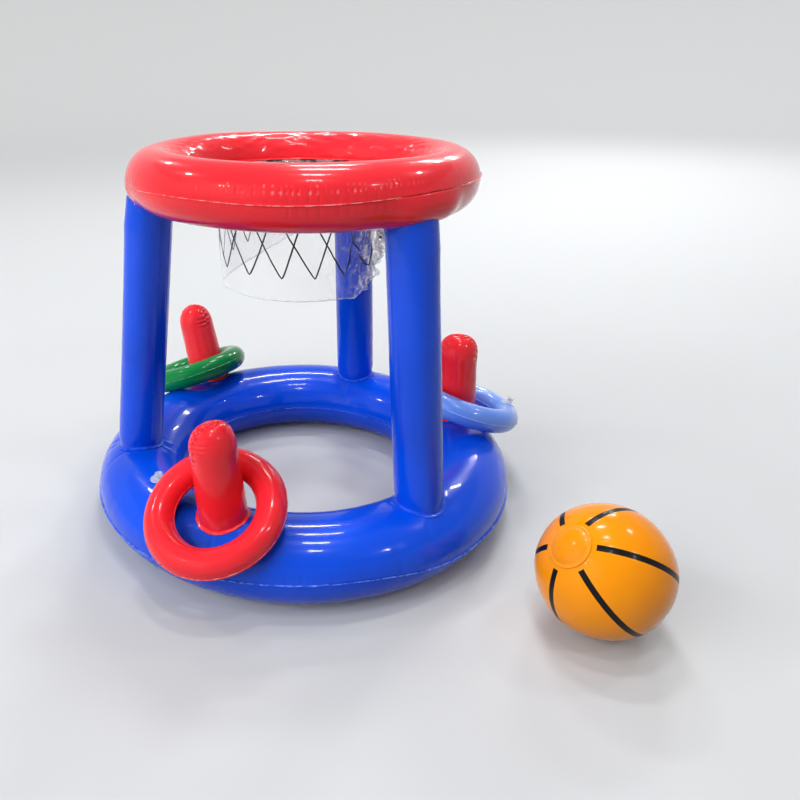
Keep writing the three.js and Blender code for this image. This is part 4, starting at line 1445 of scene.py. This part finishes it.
class POOLHOOP_OT_ball(PieceOperator, bpy.types.Operator):
    """Build the ball and the round caps welded over its two poles."""

    bl_idname = "poolhoop.ball"
    bl_label = "Ball"

    def build(self, sizes, materials):
        slot = "orange_film"
        mesh_object("ball_film", [ball_grid()], "ball", slot, ["ball_shell"], materials["film_ball"])
        for name, end, seed in (("ball_cap_upper", 1, 33), ("ball_cap_lower", -1, 34)):
            part = cap_grid(end, seed)
            mesh_object(f"{name}_film", [part], "ball", slot, [name], materials["film_orange"])


class POOLHOOP_OT_valves(PieceOperator, bpy.types.Operator):
    """Build the six valves and their stoppers."""

    bl_idname = "poolhoop.valves"
    bl_label = "Valves"

    def build(self, sizes, materials):
        slot, clear = "clear_valve", materials["moulded_clear"]
        for name, (site, home, tube, body, stopper) in valve_sites().items():
            mesh_object(f"{name}_body", valve_body_grids(site, home, tube), body, slot, [name], clear)
            part = stopper_grids(site)
            mesh_object(f"{name}_stopper_piece", part, stopper, slot, [f"{name}_stopper"], clear)


CAMERA_OFFSET = (0.371, -0.890, 0.6029)
CAMERA_PITCH = 66.325
CAMERA_YAW = 22.51
CAMERA_LENS = 32.674
CAMERA_SENSOR = 36
CAMERA_SHIFT = (0.11875, -0.025)

# Strip lamps overhead: azimuth and elevation in degrees from the set's middle, and length in metres. They
# hang in one level over the middle, all turned the same way.
STRIPS = (
    (107.7, 47.9, 0.48),
    (96.0, 71.9, 0.42),
    (-30.0, 83.0, 0.28),
    (-57.0, 64.9, 0.18),
    (81.0, 37.0, 0.60),
    (84.0, 25.0, 0.50),
    (-165.0, 46.0, 0.22),
    (-120.0, 35.0, 0.20),
    (-18.0, 42.0, 0.20),
    (36.0, 48.0, 0.22),
    (153.0, 38.0, 0.22),
)
STRIP_WIDTH = 0.16
STRIP_TURN = 20
STRIP_LEVEL = 2.0
STRIP_MIDDLE = (0, 0, 0.25)
FILL_SPOT = (-1.6, -2.6, 1.6)
FILL_AIM = (0.1, 0, 0.2)
FILL_SIZE = (3.4, 2.4)
FLOOR_DROP = 0.0005


class POOLHOOP_OT_stage(bpy.types.Operator):
    """Build the floor and backdrop, the lamps, the surroundings and the camera."""

    bl_idname = "poolhoop.stage"
    bl_label = "Stage"

    def execute(self, context):
        stage = context.scene.hoop_stage
        self.floor(stage)
        self.lamps(stage)
        self.surroundings(stage)
        self.camera()
        context.scene.view_settings.view_transform = "Standard"
        return {"FINISHED"}

    def floor(self, stage):
        """A round sheet: level out to its bend, then a quarter circle that rises into an upright wall."""
        bend, start, high = 2.0, 7.0, 5.0
        rise = np.linspace(0, 1, 24)[1:] * math.pi / 2
        reach = np.concatenate([np.linspace(0.5, start, 14), start + bend * np.sin(rise), [start + bend]])
        height = np.concatenate([np.zeros(14), bend - bend * np.cos(rise), [high]])
        points = polar(reach[:, None], np.arange(96) / 96 * TURN, height[:, None] - FLOOR_DROP)
        part = grid(points, first=(0, 0, -FLOOR_DROP), flip=True)
        mesh = bpy.data.meshes.new("floor")
        mesh.from_pydata(part["points"].tolist(), [], part["quads"].tolist() + part["triangles"].tolist())
        floor = linked("floor", mesh, floor_finish("floor_sheet", stage.floor, stage.glow))

    def lamp(self, name, spot, turn, size, power, glossy=True):
        """A rectangle of light at a spot, turned by Euler angles; a lamp that isn't glossy has no
        reflection."""
        light = bpy.data.lights.new(name, "AREA")
        light.shape, light.size, light.size_y = "RECTANGLE", size[0], size[1]
        light.energy = power
        lamp = bpy.data.objects.new(name, light)
        lamp.location, lamp.rotation_euler = spot, turn
        lamp.visible_glossy = glossy
        bpy.context.scene.collection.objects.link(lamp)

    def lamps(self, stage):
        """Thin strips in one level overhead, which draw the short streaks on the film, and one soft fill. The
        power of a strip grows with its length and with its distance."""
        turn = Euler((0, 0, math.radians(STRIP_TURN)))
        for number, (azimuth, elevation, length) in enumerate(STRIPS):
            reach = STRIP_LEVEL / math.tan(math.radians(elevation))
            spot = AXIS.out(STRIP_MIDDLE) + direction(azimuth) * reach + (0, 0, STRIP_LEVEL)
            power = stage.lamp_power * length * math.hypot(reach, STRIP_LEVEL) / STRIP_LEVEL
            self.lamp(f"strip_{number}", spot, turn, (length, STRIP_WIDTH), power)
        spot = Vector(AXIS.out(FILL_SPOT))
        turn = (Vector(AXIS.out(FILL_AIM)) - spot).to_track_quat("-Z", "Y").to_euler()
        self.lamp("fill", spot, turn, FILL_SIZE, stage.fill_power, glossy=False)

    def surroundings(self, stage):
        """Soft surroundings: bright overhead and dimmer towards the level."""
        world = bpy.data.worlds.new("surroundings")
        world.use_nodes = True
        tree = world.node_tree
        tree.nodes.clear()
        spot = tree.nodes.new("ShaderNodeTexCoord")
        split = tree.nodes.new("ShaderNodeSeparateXYZ")
        ramp = tree.nodes.new("ShaderNodeValToRGB")
        back = tree.nodes.new("ShaderNodeBackground")
        end = tree.nodes.new("ShaderNodeOutputWorld")
        low, high = ramp.color_ramp.elements
        low.position, high.position = 0.0, 0.8
        low.color, high.color = (0.40, 0.41, 0.42, 1), (1, 1, 1, 1)
        back.inputs["Strength"].default_value = stage.sky
        tree.links.new(spot.outputs["Generated"], split.inputs[0])
        tree.links.new(split.outputs["Z"], ramp.inputs["Fac"])
        tree.links.new(ramp.outputs["Color"], back.inputs["Color"])
        tree.links.new(back.outputs["Background"], end.inputs["Surface"])
        bpy.context.scene.world = world

    def camera(self):
        """The camera that was fitted to the photograph."""
        data = bpy.data.cameras.new("camera")
        data.lens, data.sensor_width = CAMERA_LENS, CAMERA_SENSOR
        data.shift_x, data.shift_y = CAMERA_SHIFT
        data.clip_start, data.clip_end = 0.01, 100
        camera = bpy.data.objects.new("camera", data)
        camera.location = AXIS.out(CAMERA_OFFSET)
        camera.rotation_euler = (math.radians(CAMERA_PITCH), 0, math.radians(CAMERA_YAW))
        bpy.context.scene.collection.objects.link(camera)
        bpy.context.scene.camera = camera


class POOLHOOP_PT_panel(bpy.types.Panel):
    """Lists the settings and the steps in the sidebar."""

    bl_label = "Pool Hoop"
    bl_idname = "POOLHOOP_PT_panel"
    bl_space_type = "VIEW_3D"
    bl_region_type = "UI"
    bl_category = "Pool Hoop"

    def draw(self, context):
        scene = context.scene
        for group in (scene.hoop_sizes, scene.hoop_colours, scene.hoop_stage):
            box = self.layout.box()
            for name in group.__annotations__:
                box.prop(group, name)
        for operator in OPERATORS:
            self.layout.operator(operator.bl_idname)


OPERATORS = (
    POOLHOOP_OT_base_ring,
    POOLHOOP_OT_hoop_ring,
    POOLHOOP_OT_columns,
    POOLHOOP_OT_pegs,
    POOLHOOP_OT_toss_rings,
    POOLHOOP_OT_net,
    POOLHOOP_OT_ball,
    POOLHOOP_OT_valves,
    POOLHOOP_OT_stage,
)
CLASSES = (HoopSizes, HoopColours, HoopStage, *OPERATORS, POOLHOOP_PT_panel)


def register():
    """Makes the classes and settings known."""
    for made in CLASSES:
        bpy.utils.register_class(made)
    bpy.types.Scene.hoop_sizes = bpy.props.PointerProperty(type=HoopSizes)
    bpy.types.Scene.hoop_colours = bpy.props.PointerProperty(type=HoopColours)
    bpy.types.Scene.hoop_stage = bpy.props.PointerProperty(type=HoopStage)


def unregister():
    """Takes the settings and classes away again."""
    for name in ("hoop_sizes", "hoop_colours", "hoop_stage"):
        delattr(bpy.types.Scene, name)
    for made in reversed(CLASSES):
        bpy.utils.unregister_class(made)


def main():
    """Builds everything."""
    register()
    for operator in OPERATORS:
        group, name = operator.bl_idname.split(".")
        if getattr(getattr(bpy.ops, group), name)() != {"FINISHED"}:
            raise RuntimeError(f"{operator.bl_label} wasn't built")


if __name__ == "__main__":
    main()
